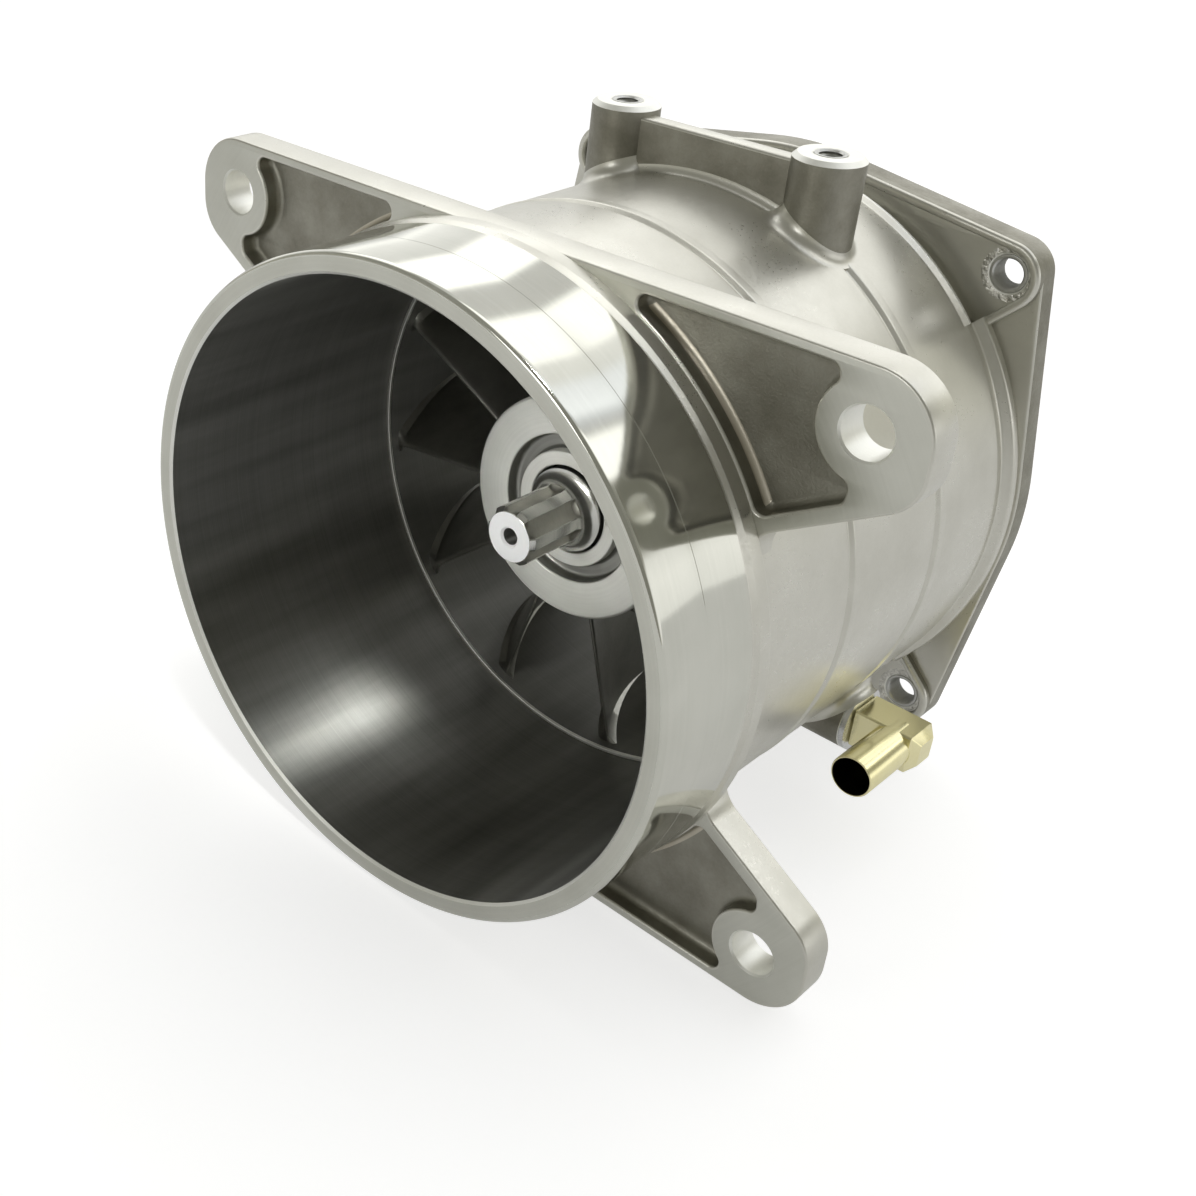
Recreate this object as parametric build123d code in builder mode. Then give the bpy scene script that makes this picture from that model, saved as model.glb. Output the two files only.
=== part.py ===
"""Jet pump: housing, stator, shaft, bearings, seals, tail cone and hose elbow.

Frame: millimetres. The pump axis is Y, the mouth looks along -Y, +Z is up.
The origin lies on the pump axis, in the front face of the mounting ears.
An angle about the axis is measured from +X towards +Z.
"""

import os
from math import pi, radians, sin, sqrt, tan

from build123d import *

os.makedirs("parts", exist_ok=True)

# Fits
slip = 0.02
running_gap = 0.05
piece_gap = 0.3

# Mouth barrel and body
bore_r = 81.2
barrel_wall = 5.5
barrel_length = 38.0
lip_bevel = 0.7
lip_chamfer = 1.4
witness_line_y = -21.7
witness_depth = 0.25
body_wall = 2.1
barrel_run_out = 5.0
bead_lines_y = (41.2, 83.0)
bead_depth = 0.8
bead_half_width = 1.6

# Front mounting plate
plate_thickness = 9.7
ear_x = 97.5
ear_z = 71.0
ear_r = 14.7
ear_hole_r = 6.0
ear_pad_r = 12.0
ear_waist_slope = 0.6
ear_waist_drop = 17.4
ear_waist_round = 12.0
waist_end = 58.0
waist_fillet = 9.0
rim_width = 2.6
waist_rim_width = 4.0
pocket_depth = 5.0
pocket_round = 2.5
pocket_corner = 4.5
pocket_foot = 2.0
barrel_rim = 1.5

# Rear flange
flange_back = 132.1
flange_thickness = 7.1
flange_rim_height = 2.8
flange_rim_width = 2.6
flange_r = 85.7
lobe_offset = 67.0
lobe_r = 9.5
flange_bolt_r = 4.0
channel_front = 117.6
channel_depth = 4.2
flange_bead = 2.0

# Top posts and the web between them
post_x = 32.0
post_y = 84.5
post_r = 9.5
post_top = 97.8
post_chamfer = 1.2
post_hole_depth = 14.0
post_thread_r = 3.0
insert_wall = 1.2
web_thickness = 5.5
web_setback = -1.6
web_top = 95.3

# Side boss and hose elbow
boss_y = 89.0
boss_z = -57.1
boss_r = 9.7
boss_face = 70.9
tap_r = 3.2
spigot_r = 4.9
spigot_length = 7.5
elbow_washer = 1.5
elbow_size = 11.8
elbow_reach = 20.0
tube_inset = 8.0
tube_r = 5.8
tube_wall = 1.0
tube_length = 20.0
elbow_chamfer = 1.2

# Stator
stator_front = 46.0
stator_back = 110.0
shroud_lip = 1.2
shroud_back_wall = 4.2
duct_taper = 2.5
vane_count = 12
vane_phase = 10.6
vane_turn = 12.5
vane_turn_length = 40.0
vane_lead_hub = 42.7
vane_lead_tip = 49.6
vane_trail = 107.0
vane_thick = 3.6
vane_edge = 1.3

# Hub, carrier and shaft, along the axis
hub_face = 35.2
hub_wall = 9.0
carrier_flange = 2.3
carrier_body_r = 22.4
face_groove_outer = 21.5
face_groove_inner = 16.8
face_groove_depth = 4.0
carrier_wall = 2.2
shaft_opening_r = 13.4
carrier_end_gap = 0.6
oring_r = 0.9
hub_shoulder = 3.0
hub_shoulder_r = 15.8
hub_back = 118.0
hub_spigot_step = 1.3
hub_spigot_depth = 8.0

# Shaft
shaft_tip = 11.4
tip_chamfer = 1.2
spline_r = 8.4
spline_end = 30.0
flare_length = 4.5
journal_r = 12.0
collar_r = 13.6
collar_length = 2.4
thread_r = 9.0
thread_length = 10.5
spline_count = 6
spline_phase = 35.0
spline_groove_width = 4.4
spline_groove_depth = 1.9
spline_run_out = 32.6
centre_hole_r = 2.4
centre_hole_depth = 12.0

# Seals
seal_width = 7.0
seal_r = 19.0
seal_shell = 1.6
seal_lip = 1.3
spring_wire_r = 0.8

# Bearings
bearing_bore_r = 10.0
bearing_r = 23.5
bearing_width = 14.0
ball_r = 3.97
ball_count = 8
race_wall = 3.8
cage_half_height = 1.4
cage_width = 9.4
bearing_spread = 17.0
spacer_wall = 2.8
circlip_thickness = 1.5
circlip_depth = 1.5
circlip_width = 2.8
circlip_gap = 16.0

# Shaft nut
nut_washer_thickness = 1.5
nut_washer_r = 14.0
nut_across_flats = 27.0
nut_thickness = 6.5

# Tail cone
cone_length = 44.0
cone_tip_r = 7.0
cone_wall = 4.0
cone_plug_r = 4.0
cone_plug_length = 6.0
cone_screw_count = 3
cone_screw_land = 0.9
cone_screw_r = 2.0
cone_screw_head_r = 3.5
cone_screw_head = 4.0
cone_screw_seat = 4.0
cone_screw_grip = 9.0

# Sizes that follow from the ones above
barrel_r = bore_r + barrel_wall
body_r = bore_r + body_wall
flange_front = flange_back - flange_thickness
entry_r = bore_r - shroud_lip
shroud_back_r = bore_r - shroud_back_wall
duct_exit_r = shroud_back_r - duct_taper
hub_r = bearing_r + hub_wall
hub_spigot_r = bearing_r + hub_spigot_step
seal_front = hub_face + face_groove_depth + carrier_wall
seal_back = seal_front + 2 * seal_width
hub_step = seal_back + carrier_end_gap
front_bearing = hub_step + hub_shoulder
rear_bearing = front_bearing + bearing_width + bearing_spread
stack_end = rear_bearing + bearing_width
ball_pitch_r = (bearing_bore_r + bearing_r) / 2
cone_pocket_r = cone_screw_head_r + piece_gap
cone_screw_pitch_r = hub_r - cone_screw_land - cone_pocket_r
boss_seat = boss_face + elbow_washer
tube_x = boss_seat + elbow_reach - tube_inset
rim_front = flange_front - flange_rim_height


def at(y):
    """The plane across the pump axis at y: local x is X and local y is Z."""
    return Plane.XZ.offset(-y)


def save(part, label):
    """Label one finished piece and write its STEP file."""
    part.label = label
    export_step(part, "parts/" + label + ".step")


def turned(points):
    """A turned solid from its half section, given as (radius, y) points."""
    with BuildPart() as body:
        with BuildSketch(Plane.XY):
            with BuildLine():
                Polyline(*points, close=True)
            make_face()
        revolve(axis=Axis.Y)
    return body.part


def tube(inner_r, outer_r, start, end):
    """A plain ring about the pump axis."""
    return turned([(inner_r, start), (outer_r, start), (outer_r, end), (inner_r, end)])


def torus(major, minor, y):
    """A ring of round section about the pump axis."""
    with BuildPart() as ring:
        with BuildSketch(Plane.XY):
            with Locations((major, y)):
                Circle(minor)
        revolve(axis=Axis.Y)
    return ring.part


def shroud_r(y):
    """Radius of the duct inside the stator shroud at y."""
    share = (y - stator_front) / (stator_back - stator_front)
    return entry_r + (shroud_back_r - entry_r) * share


def waist_z(x):
    """Height of the sloping waist edge of the plate at x."""
    return ear_z + ear_waist_slope * (x - ear_x) - ear_waist_drop * sqrt(1 + ear_waist_slope ** 2)


def plate_outline():
    """Front plate outline: four ears with a sloping waist on each side."""
    side = ear_x + ear_r
    top = ear_z + ear_r
    with BuildSketch() as outline:
        with BuildLine():
            Polyline(
                (0, top),
                (side, top),
                (side, waist_z(side)),
                (waist_end, waist_z(waist_end)),
                (0, waist_z(waist_end)),
                close=True,
            )
        make_face()
        fillet(outline.vertices().sort_by_distance((side, top))[0], ear_r)
        fillet(outline.vertices().sort_by_distance((side, waist_z(side)))[0], ear_waist_round)
        mirror(about=Plane.YZ)
        mirror(about=Plane.XZ)
        Circle(body_r)
        corners = outline.vertices().filter_by(lambda v: abs(Vector(*v).length - body_r) < 0.01)
        fillet(corners, waist_fillet)
    return outline.sketch


def ear_pocket():
    """Recess between the barrel and one ear, inside the rim."""
    rise = waist_rim_width * sqrt(1 + ear_waist_slope ** 2)
    inner = ear_x - ear_pad_r + pocket_corner
    with BuildSketch() as pocket:
        with BuildLine():
            Polyline(
                (0, ear_z + ear_r - rim_width),
                (inner, ear_z + ear_r - rim_width),
                (ear_x, ear_z),
                (ear_x - pocket_foot, waist_z(ear_x - pocket_foot) + rise),
                (waist_end, waist_z(waist_end) + rise),
                (0, waist_z(waist_end) + rise),
                close=True,
            )
        make_face()
        Circle(barrel_r + barrel_rim, mode=Mode.SUBTRACT)
        with Locations((ear_x, ear_z)):
            Circle(ear_pad_r, mode=Mode.SUBTRACT)
        offset(amount=-pocket_round, kind=Kind.INTERSECTION, mode=Mode.REPLACE)
        offset(amount=pocket_round, kind=Kind.ARC, mode=Mode.REPLACE)
    return pocket.sketch


def flange_outline():
    """Rear flange outline: a disc drawn out to a lobe at each bolt."""
    with BuildSketch() as outline:
        Circle(flange_r)
        with GridLocations(2 * lobe_offset, 2 * lobe_offset, 2, 2):
            Circle(lobe_r)
        make_hull()
    return outline.sketch


def lobe_sectors(inset):
    """The top and bottom sectors of the flange, out to a line beside the lobes less the inset."""
    reach = 2 * lobe_offset
    with BuildSketch() as sectors:
        with BuildLine():
            Polyline((0, 0), (reach, reach), (-reach, reach), close=True)
        make_face()
        offset(amount=lobe_r - inset, kind=Kind.ARC)
        mirror(about=Plane.XZ)
    return sectors.sketch


def vane_section(radius, lead):
    """One vane profile on the plane at this radius, as (axial, sideways) points for each side."""
    upper = []
    lower = []
    for share in (0.0, 0.12, 0.3, 0.55, 0.8, 1.0):
        y = lead + (vane_trail - lead) * share
        left = max(0.0, 1 - (y - lead) / vane_turn_length)
        turn = radians(vane_turn * (1 - left ** 2))
        half = vane_edge / 2 + (vane_thick - vane_edge) / 2 * sin(pi * share)
        middle = -radius * tan(turn)
        upper.append((y, middle + half))
        lower.append((y, middle - half))
    return upper, lower


def around(angles):
    """Turns about the pump axis that carry +X to each angle."""
    return Locations(*[Location((0, 0, 0), (0, -angle, 0)) for angle in angles])


# Pump housing
outer = [
    (0, -barrel_length),
    (barrel_r - lip_chamfer, -barrel_length),
    (barrel_r, -barrel_length + lip_chamfer),
    (barrel_r, witness_line_y - witness_depth),
    (barrel_r - witness_depth, witness_line_y),
    (barrel_r, witness_line_y + witness_depth),
    (barrel_r, 0),
    (body_r, barrel_run_out),
]
for line_y in bead_lines_y:
    outer += [
        (body_r, line_y - bead_half_width),
        (body_r - bead_depth, line_y),
        (body_r, line_y + bead_half_width),
    ]
outer += [
    (body_r, flange_front - flange_bead),
    (body_r + flange_bead, flange_front),
    (body_r, flange_back),
    (0, flange_back),
]
bore = [
    (0, -barrel_length),
    (bore_r + lip_bevel, -barrel_length),
    (bore_r, -barrel_length + lip_bevel),
    (bore_r, stator_back),
    (shroud_back_r, stator_back),
    (duct_exit_r, flange_back),
    (0, flange_back),
]
with BuildPart() as pump_housing:
    # Rear flange with raised rims and bolt pads at the top and bottom
    with BuildSketch(at(rim_front)):
        add(flange_outline())
    extrude(amount=-flange_rim_height - flange_thickness)
    with BuildSketch(at(rim_front)):
        Rectangle(4 * flange_r, 4 * flange_r)
        add(lobe_sectors(0), mode=Mode.SUBTRACT)
    extrude(amount=-flange_rim_height, mode=Mode.SUBTRACT)
    add(turned(outer))
    with BuildSketch(at(0)):
        add(plate_outline())
    extrude(amount=-plate_thickness)
    with BuildSketch(at(channel_front)):
        add(flange_outline())
        offset(amount=-flange_rim_width, mode=Mode.REPLACE)
        add(lobe_sectors(flange_rim_width), mode=Mode.INTERSECT)
        Circle(body_r - channel_depth, mode=Mode.SUBTRACT)
    extrude(amount=channel_front - flange_front, mode=Mode.SUBTRACT)
    # Posts, web and side boss
    with BuildSketch(Plane.XY.offset(body_r - post_r)):
        with Locations((-post_x, post_y), (post_x, post_y)):
            Circle(post_r)
        with Locations((0, post_y + web_setback)):
            Rectangle(2 * post_x, web_thickness)
    extrude(amount=web_top - body_r + post_r)
    with BuildSketch(Plane.XY.offset(web_top)):
        with Locations((-post_x, post_y), (post_x, post_y)):
            Circle(post_r)
    extrude(amount=post_top - post_chamfer - web_top)
    with BuildSketch(Plane.XY.offset(post_top - post_chamfer)):
        with Locations((-post_x, post_y), (post_x, post_y)):
            Circle(post_r)
    extrude(amount=post_chamfer, taper=45)
    with BuildSketch(Plane.YZ.offset(boss_face)):
        with Locations((boss_y, boss_z)):
            Circle(boss_r)
    extrude(amount=-boss_face / 2)
    # Pockets beside the ears
    with BuildSketch(at(0)):
        add(ear_pocket())
        mirror(about=Plane.YZ)
        mirror(about=Plane.XZ)
    extrude(amount=-pocket_depth, mode=Mode.SUBTRACT)
    # Bore and holes
    add(turned(bore), mode=Mode.SUBTRACT)
    with BuildSketch(at(0)):
        with GridLocations(2 * ear_x, 2 * ear_z, 2, 2):
            Circle(ear_hole_r)
    extrude(amount=-plate_thickness, mode=Mode.SUBTRACT)
    with BuildSketch(at(flange_front)):
        with GridLocations(2 * lobe_offset, 2 * lobe_offset, 2, 2):
            Circle(flange_bolt_r + insert_wall + slip)
    extrude(amount=-flange_thickness, mode=Mode.SUBTRACT)
    with BuildSketch(Plane.XY.offset(post_top)):
        with Locations((-post_x, post_y), (post_x, post_y)):
            Circle(post_thread_r + insert_wall + slip)
    extrude(amount=-post_hole_depth, mode=Mode.SUBTRACT)
    with BuildSketch(Plane.YZ.offset(boss_face)):
        with Locations((boss_y, boss_z)):
            Circle(spigot_r + slip)
    extrude(amount=-spigot_length - piece_gap, mode=Mode.SUBTRACT)
    with BuildSketch(Plane.YZ.offset(boss_face)):
        with Locations((boss_y, boss_z)):
            Circle(tap_r)
    extrude(amount=-boss_face / 2, mode=Mode.SUBTRACT)
save(pump_housing.part, "pump_housing")

# Stator shroud
with BuildPart() as stator_shroud:
    add(turned([
        (entry_r, stator_front),
        (bore_r - slip, stator_front),
        (bore_r - slip, stator_back),
        (shroud_back_r, stator_back),
    ]))
    with BuildSketch(Plane.YZ.offset(boss_face)):
        with Locations((boss_y, boss_z)):
            Circle(tap_r)
    extrude(amount=-boss_face / 2, mode=Mode.SUBTRACT)
save(stator_shroud.part, "stator_shroud")

# Stator vanes, trimmed to the hub and the shroud
with BuildPart() as vane:
    for radius, lead in ((hub_r - piece_gap, vane_lead_hub), (entry_r + piece_gap, vane_lead_tip)):
        upper, lower = vane_section(radius, lead)
        with BuildSketch(Plane.YZ.offset(radius)):
            with BuildLine():
                Spline(*upper)
                Line(upper[-1], lower[-1])
                Spline(*lower)
                Line(lower[0], upper[0])
            make_face()
    loft(ruled=True)
    add(turned([
        (hub_r, stator_front - barrel_length),
        (shroud_r(stator_front - barrel_length), stator_front - barrel_length),
        (shroud_r(stator_back), stator_back),
        (hub_r, stator_back),
    ]), mode=Mode.INTERSECT)
with BuildPart() as stator_vanes:
    with around([vane_phase + 360 / vane_count * turn for turn in range(vane_count)]):
        add(vane.part)
save(stator_vanes.part, "stator_vanes")

# Stator hub
with BuildPart() as stator_hub:
    add(turned([
        (carrier_body_r + slip, hub_face + carrier_flange),
        (hub_r, hub_face + carrier_flange),
        (hub_r, hub_back),
        (hub_spigot_r, hub_back),
        (hub_spigot_r, hub_back - hub_spigot_depth),
        (bearing_r, hub_back - hub_spigot_depth),
        (bearing_r, stack_end + circlip_thickness + slip),
        (bearing_r + circlip_depth, stack_end + circlip_thickness + slip),
        (bearing_r + circlip_depth, stack_end),
        (bearing_r, stack_end),
        (bearing_r, front_bearing),
        (hub_shoulder_r, front_bearing),
        (hub_shoulder_r, hub_step),
        (carrier_body_r + slip, hub_step),
    ]))
    with BuildSketch(at(hub_back)):
        with PolarLocations(cone_screw_pitch_r, cone_screw_count, start_angle=90):
            Circle(cone_screw_r)
    extrude(amount=cone_screw_grip + piece_gap, mode=Mode.SUBTRACT)
save(stator_hub.part, "stator_hub")

# Seal carrier with the ring groove in its face
groove_y = (hub_face + carrier_flange + hub_step) / 2
carrier = turned([
    (shaft_opening_r, hub_face),
    (face_groove_inner, hub_face),
    (face_groove_inner, hub_face + face_groove_depth),
    (face_groove_outer, hub_face + face_groove_depth),
    (face_groove_outer, hub_face),
    (hub_r - lip_bevel, hub_face),
    (hub_r, hub_face + lip_bevel),
    (hub_r, hub_face + carrier_flange),
    (carrier_body_r, hub_face + carrier_flange),
    (carrier_body_r, groove_y - oring_r),
    (carrier_body_r - 2 * oring_r, groove_y - oring_r),
    (carrier_body_r - 2 * oring_r, groove_y + oring_r),
    (carrier_body_r, groove_y + oring_r),
    (carrier_body_r, seal_back),
    (seal_r, seal_back),
    (seal_r, seal_front),
    (shaft_opening_r, seal_front),
])
save(carrier, "seal_carrier")

save(torus(carrier_body_r - oring_r, oring_r, groove_y), "carrier_oring")

# Lip seals with their garter springs
spring_r = journal_r + running_gap + seal_lip + spring_wire_r
seal_spans = {"outer_lip_seal": seal_front, "inner_lip_seal": seal_front + seal_width}
for label, start in seal_spans.items():
    lip_r = journal_r + running_gap
    seal = turned([
        (lip_r + seal_lip, start),
        (seal_r - slip, start),
        (seal_r - slip, start + seal_width),
        (seal_r - seal_shell, start + seal_width),
        (seal_r - seal_shell, start + seal_shell),
        (spring_r + spring_wire_r, start + seal_shell),
        (lip_r + seal_lip, start + seal_width / 2),
        (lip_r + seal_lip, start + seal_width - seal_shell),
        (lip_r, start + seal_width - 2 * seal_shell),
        (lip_r + seal_lip / 2, start + seal_shell),
    ])
    save(seal, label)
with BuildPart() as garter_springs:
    for start in seal_spans.values():
        add(torus(spring_r + slip, spring_wire_r, start + seal_width - 2 * seal_shell))
save(garter_springs.part, "garter_springs")

# Impeller shaft
spline_front = shaft_tip + tip_chamfer
shaft_back = stack_end + thread_length
shaft_points = [
    (0, shaft_tip),
    (spline_r - tip_chamfer, shaft_tip),
    (spline_r, spline_front),
    (spline_r, spline_end),
    (spline_r + (journal_r - spline_r) * 0.3, spline_end + flare_length * 0.6),
    (journal_r, spline_end + flare_length),
    (journal_r, front_bearing - collar_length),
    (collar_r, front_bearing - collar_length),
    (collar_r, front_bearing),
    (bearing_bore_r, front_bearing),
    (bearing_bore_r, stack_end),
    (thread_r, stack_end),
    (thread_r, shaft_back - tip_chamfer),
    (thread_r - tip_chamfer, shaft_back),
    (0, shaft_back),
]
with BuildPart() as groove:
    with BuildSketch(Plane.YZ.offset(spline_r - spline_groove_depth)):
        with Locations(((shaft_tip + spline_run_out) / 2 - spline_groove_width, 0)):
            SlotOverall(spline_run_out - shaft_tip + 2 * spline_groove_width, spline_groove_width)
    extrude(amount=2 * spline_groove_depth)
with BuildPart() as impeller_shaft:
    add(turned(shaft_points))
    with around([spline_phase + 360 / spline_count * turn for turn in range(spline_count)]):
        add(groove.part, mode=Mode.SUBTRACT)
    add(turned([
        (0, shaft_tip),
        (centre_hole_r + tip_chamfer, shaft_tip),
        (centre_hole_r, shaft_tip + tip_chamfer),
        (centre_hole_r, shaft_tip + centre_hole_depth),
        (0, shaft_tip + centre_hole_depth + centre_hole_r),
    ]), mode=Mode.SUBTRACT)
save(impeller_shaft.part, "impeller_shaft")

# Ball bearings
ball_angles = [360 / ball_count * turn for turn in range(ball_count)]
for side, start in (("front", front_bearing), ("rear", rear_bearing)):
    middle = start + bearing_width / 2
    raceway = torus(ball_pitch_r, ball_r + running_gap, middle)
    with BuildPart() as inner_race:
        add(tube(bearing_bore_r, bearing_bore_r + race_wall, start, start + bearing_width))
        add(raceway, mode=Mode.SUBTRACT)
    save(inner_race.part, side + "_inner_race")
    with BuildPart() as outer_race:
        add(tube(bearing_r - race_wall, bearing_r - slip, start, start + bearing_width))
        add(raceway, mode=Mode.SUBTRACT)
    save(outer_race.part, side + "_outer_race")
    with BuildPart() as ball:
        with Locations((ball_pitch_r, middle, 0)):
            Sphere(ball_r)
    with BuildPart() as balls:
        with around(ball_angles):
            add(ball.part)
    save(balls.part, side + "_balls")
    with BuildPart() as cage_pocket:
        with BuildSketch(Plane.YZ):
            with Locations((middle, 0)):
                Circle(ball_r + slip)
        extrude(amount=bearing_r)
    with BuildPart() as cage:
        cage_span = (middle - cage_width / 2, middle + cage_width / 2)
        add(tube(ball_pitch_r - cage_half_height, ball_pitch_r + cage_half_height, *cage_span))
        with around(ball_angles):
            add(cage_pocket.part, mode=Mode.SUBTRACT)
    save(cage.part, side + "_cage")

# Spacers between the bearings
spacer_span = (front_bearing + bearing_width, rear_bearing)
save(tube(bearing_bore_r + slip, bearing_bore_r + spacer_wall, *spacer_span), "inner_spacer")
save(tube(bearing_r - spacer_wall, bearing_r - slip, *spacer_span), "outer_spacer")

# Circlip behind the rear bearing
with BuildPart() as circlip:
    circlip_r = bearing_r + circlip_depth - slip
    add(tube(circlip_r - circlip_width, circlip_r, stack_end + slip, stack_end + circlip_thickness))
    with BuildSketch(at(stack_end)):
        with Locations((0, circlip_r)):
            Rectangle(circlip_gap, 2 * circlip_width + circlip_depth)
    extrude(amount=-2 * circlip_thickness, mode=Mode.SUBTRACT)
save(circlip.part, "circlip")

# Shaft nut and washer
washer_end = stack_end + nut_washer_thickness
save(tube(thread_r, nut_washer_r, stack_end, washer_end), "nut_washer")
with BuildPart() as shaft_nut:
    with BuildSketch(at(washer_end)):
        RegularPolygon(nut_across_flats / 2, 6, major_radius=False)
        Circle(thread_r, mode=Mode.SUBTRACT)
    extrude(amount=-nut_thickness)
save(shaft_nut.part, "shaft_nut")

# Tail cone
cone_end = hub_back + cone_length
cone_oring_y = hub_back - hub_spigot_depth / 2
spigot_out = hub_spigot_r - slip
spigot_in = hub_spigot_r - cone_wall
spigot_end = hub_back - hub_spigot_depth + piece_gap
plug_seat = cone_end - cone_plug_length
with BuildPart() as tail_cone:
    with BuildSketch(Plane.XY):
        with BuildLine():
            Polyline(
                (hub_r, hub_back),
                (spigot_out, hub_back),
                (spigot_out, cone_oring_y + oring_r),
                (spigot_out - 2 * oring_r, cone_oring_y + oring_r),
                (spigot_out - 2 * oring_r, cone_oring_y - oring_r),
                (spigot_out, cone_oring_y - oring_r),
                (spigot_out, spigot_end),
                (spigot_in, spigot_end),
                (spigot_in, hub_back + cone_wall),
                (cone_plug_r, plug_seat),
                (cone_plug_r, cone_end),
                (cone_tip_r, cone_end),
            )
            Bezier(
                (cone_tip_r, cone_end),
                (hub_r - cone_tip_r, cone_end - cone_tip_r),
                (hub_r, hub_back + cone_length / 2),
                (hub_r, hub_back),
            )
        make_face()
    revolve(axis=Axis.Y)
    with BuildSketch(at(hub_back)):
        with PolarLocations(cone_screw_pitch_r, cone_screw_count, start_angle=90):
            Circle(cone_screw_r + piece_gap)
    extrude(amount=-cone_screw_seat, mode=Mode.SUBTRACT)
    with BuildSketch(at(hub_back + cone_screw_seat)):
        with PolarLocations(cone_screw_pitch_r, cone_screw_count, start_angle=90):
            Circle(cone_pocket_r)
    extrude(amount=-cone_length, mode=Mode.SUBTRACT)
save(tail_cone.part, "tail_cone")
save(torus(hub_spigot_r - oring_r, oring_r - slip, cone_oring_y), "cone_oring")
with BuildPart() as cone_screws:
    seat_y = hub_back + cone_screw_seat
    with BuildSketch(at(seat_y)) as screw_heads:
        with PolarLocations(cone_screw_pitch_r, cone_screw_count, start_angle=90):
            Circle(cone_screw_head_r)
    extrude(amount=-cone_screw_head)
    with BuildSketch(at(seat_y)):
        with PolarLocations(cone_screw_pitch_r, cone_screw_count, start_angle=90):
            Circle(cone_screw_r - slip)
    extrude(amount=cone_screw_seat + cone_screw_grip)
    with BuildSketch(at(seat_y + cone_screw_head)):
        with PolarLocations(cone_screw_pitch_r, cone_screw_count, start_angle=90):
            RegularPolygon(cone_screw_r * 0.8, 6)
    extrude(amount=cone_screw_head / 2, mode=Mode.SUBTRACT)
save(cone_screws.part, "cone_screws")
with BuildPart() as cone_plug:
    with BuildSketch(at(cone_end)):
        Circle(cone_plug_r - slip)
    extrude(amount=cone_plug_length)
    with BuildSketch(at(cone_end)):
        RegularPolygon(cone_plug_r / 2, 6)
    extrude(amount=cone_plug_length / 2, mode=Mode.SUBTRACT)
save(cone_plug.part, "cone_plug")

# Hose elbow and its washer
with BuildPart() as brass_elbow:
    with BuildSketch(Plane.YZ.offset(boss_seat)):
        with Locations((boss_y, boss_z)):
            Rectangle(elbow_size, elbow_size)
    extrude(amount=elbow_reach)
    chamfer(brass_elbow.faces().sort_by(Axis.X)[-1].edges(), elbow_chamfer)
    with BuildSketch(at(boss_y)):
        with Locations((tube_x, boss_z)):
            Circle(tube_r)
    extrude(amount=elbow_size / 2 + tube_length)
    with BuildSketch(Plane.YZ.offset(boss_seat)):
        with Locations((boss_y, boss_z)):
            Circle(spigot_r)
    extrude(amount=-elbow_washer - spigot_length)
    with BuildSketch(at(boss_y)):
        with Locations((tube_x, boss_z)):
            Circle(tube_r - tube_wall)
    extrude(amount=elbow_size / 2 + tube_length, mode=Mode.SUBTRACT)
    with BuildSketch(Plane.YZ.offset(tube_x)):
        with Locations((boss_y, boss_z)):
            Circle(tap_r)
    extrude(amount=boss_face - spigot_length - tube_x - piece_gap, mode=Mode.SUBTRACT)
save(brass_elbow.part, "brass_elbow")
with BuildPart() as elbow_washer_ring:
    with BuildSketch(Plane.YZ.offset(boss_face)):
        with Locations((boss_y, boss_z)):
            Circle(boss_r)
            Circle(spigot_r + slip, mode=Mode.SUBTRACT)
    extrude(amount=elbow_washer)
save(elbow_washer_ring.part, "elbow_washer")

# Thread inserts
with BuildPart() as post_inserts:
    with BuildSketch(Plane.XY.offset(post_top)):
        with Locations((-post_x, post_y), (post_x, post_y)):
            Circle(post_thread_r + insert_wall)
            Circle(post_thread_r, mode=Mode.SUBTRACT)
    extrude(amount=-post_hole_depth)
save(post_inserts.part, "post_inserts")
with BuildPart() as flange_inserts:
    with BuildSketch(at(flange_front)):
        with GridLocations(2 * lobe_offset, 2 * lobe_offset, 2, 2):
            Circle(flange_bolt_r + insert_wall)
            Circle(flange_bolt_r, mode=Mode.SUBTRACT)
    extrude(amount=-flange_thickness)
save(flange_inserts.part, "flange_inserts")
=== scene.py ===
"""Jet pump: smooth meshes, metal finishes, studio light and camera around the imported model.

Sizes are millimetres in the part's frame: the pump axis is Y, the mouth looks along -Y, +Z is up.
Meshes are scaled to metres as they are made. Across the axis a shape is given as (x, z).
"""

from math import acos, asin, atan2, ceil, cos, degrees, hypot, pi, radians, sin, sqrt, tan

import bmesh
import bpy
import numpy as np
from mathutils import Matrix, Vector
from mathutils.geometry import tessellate_polygon


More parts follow.
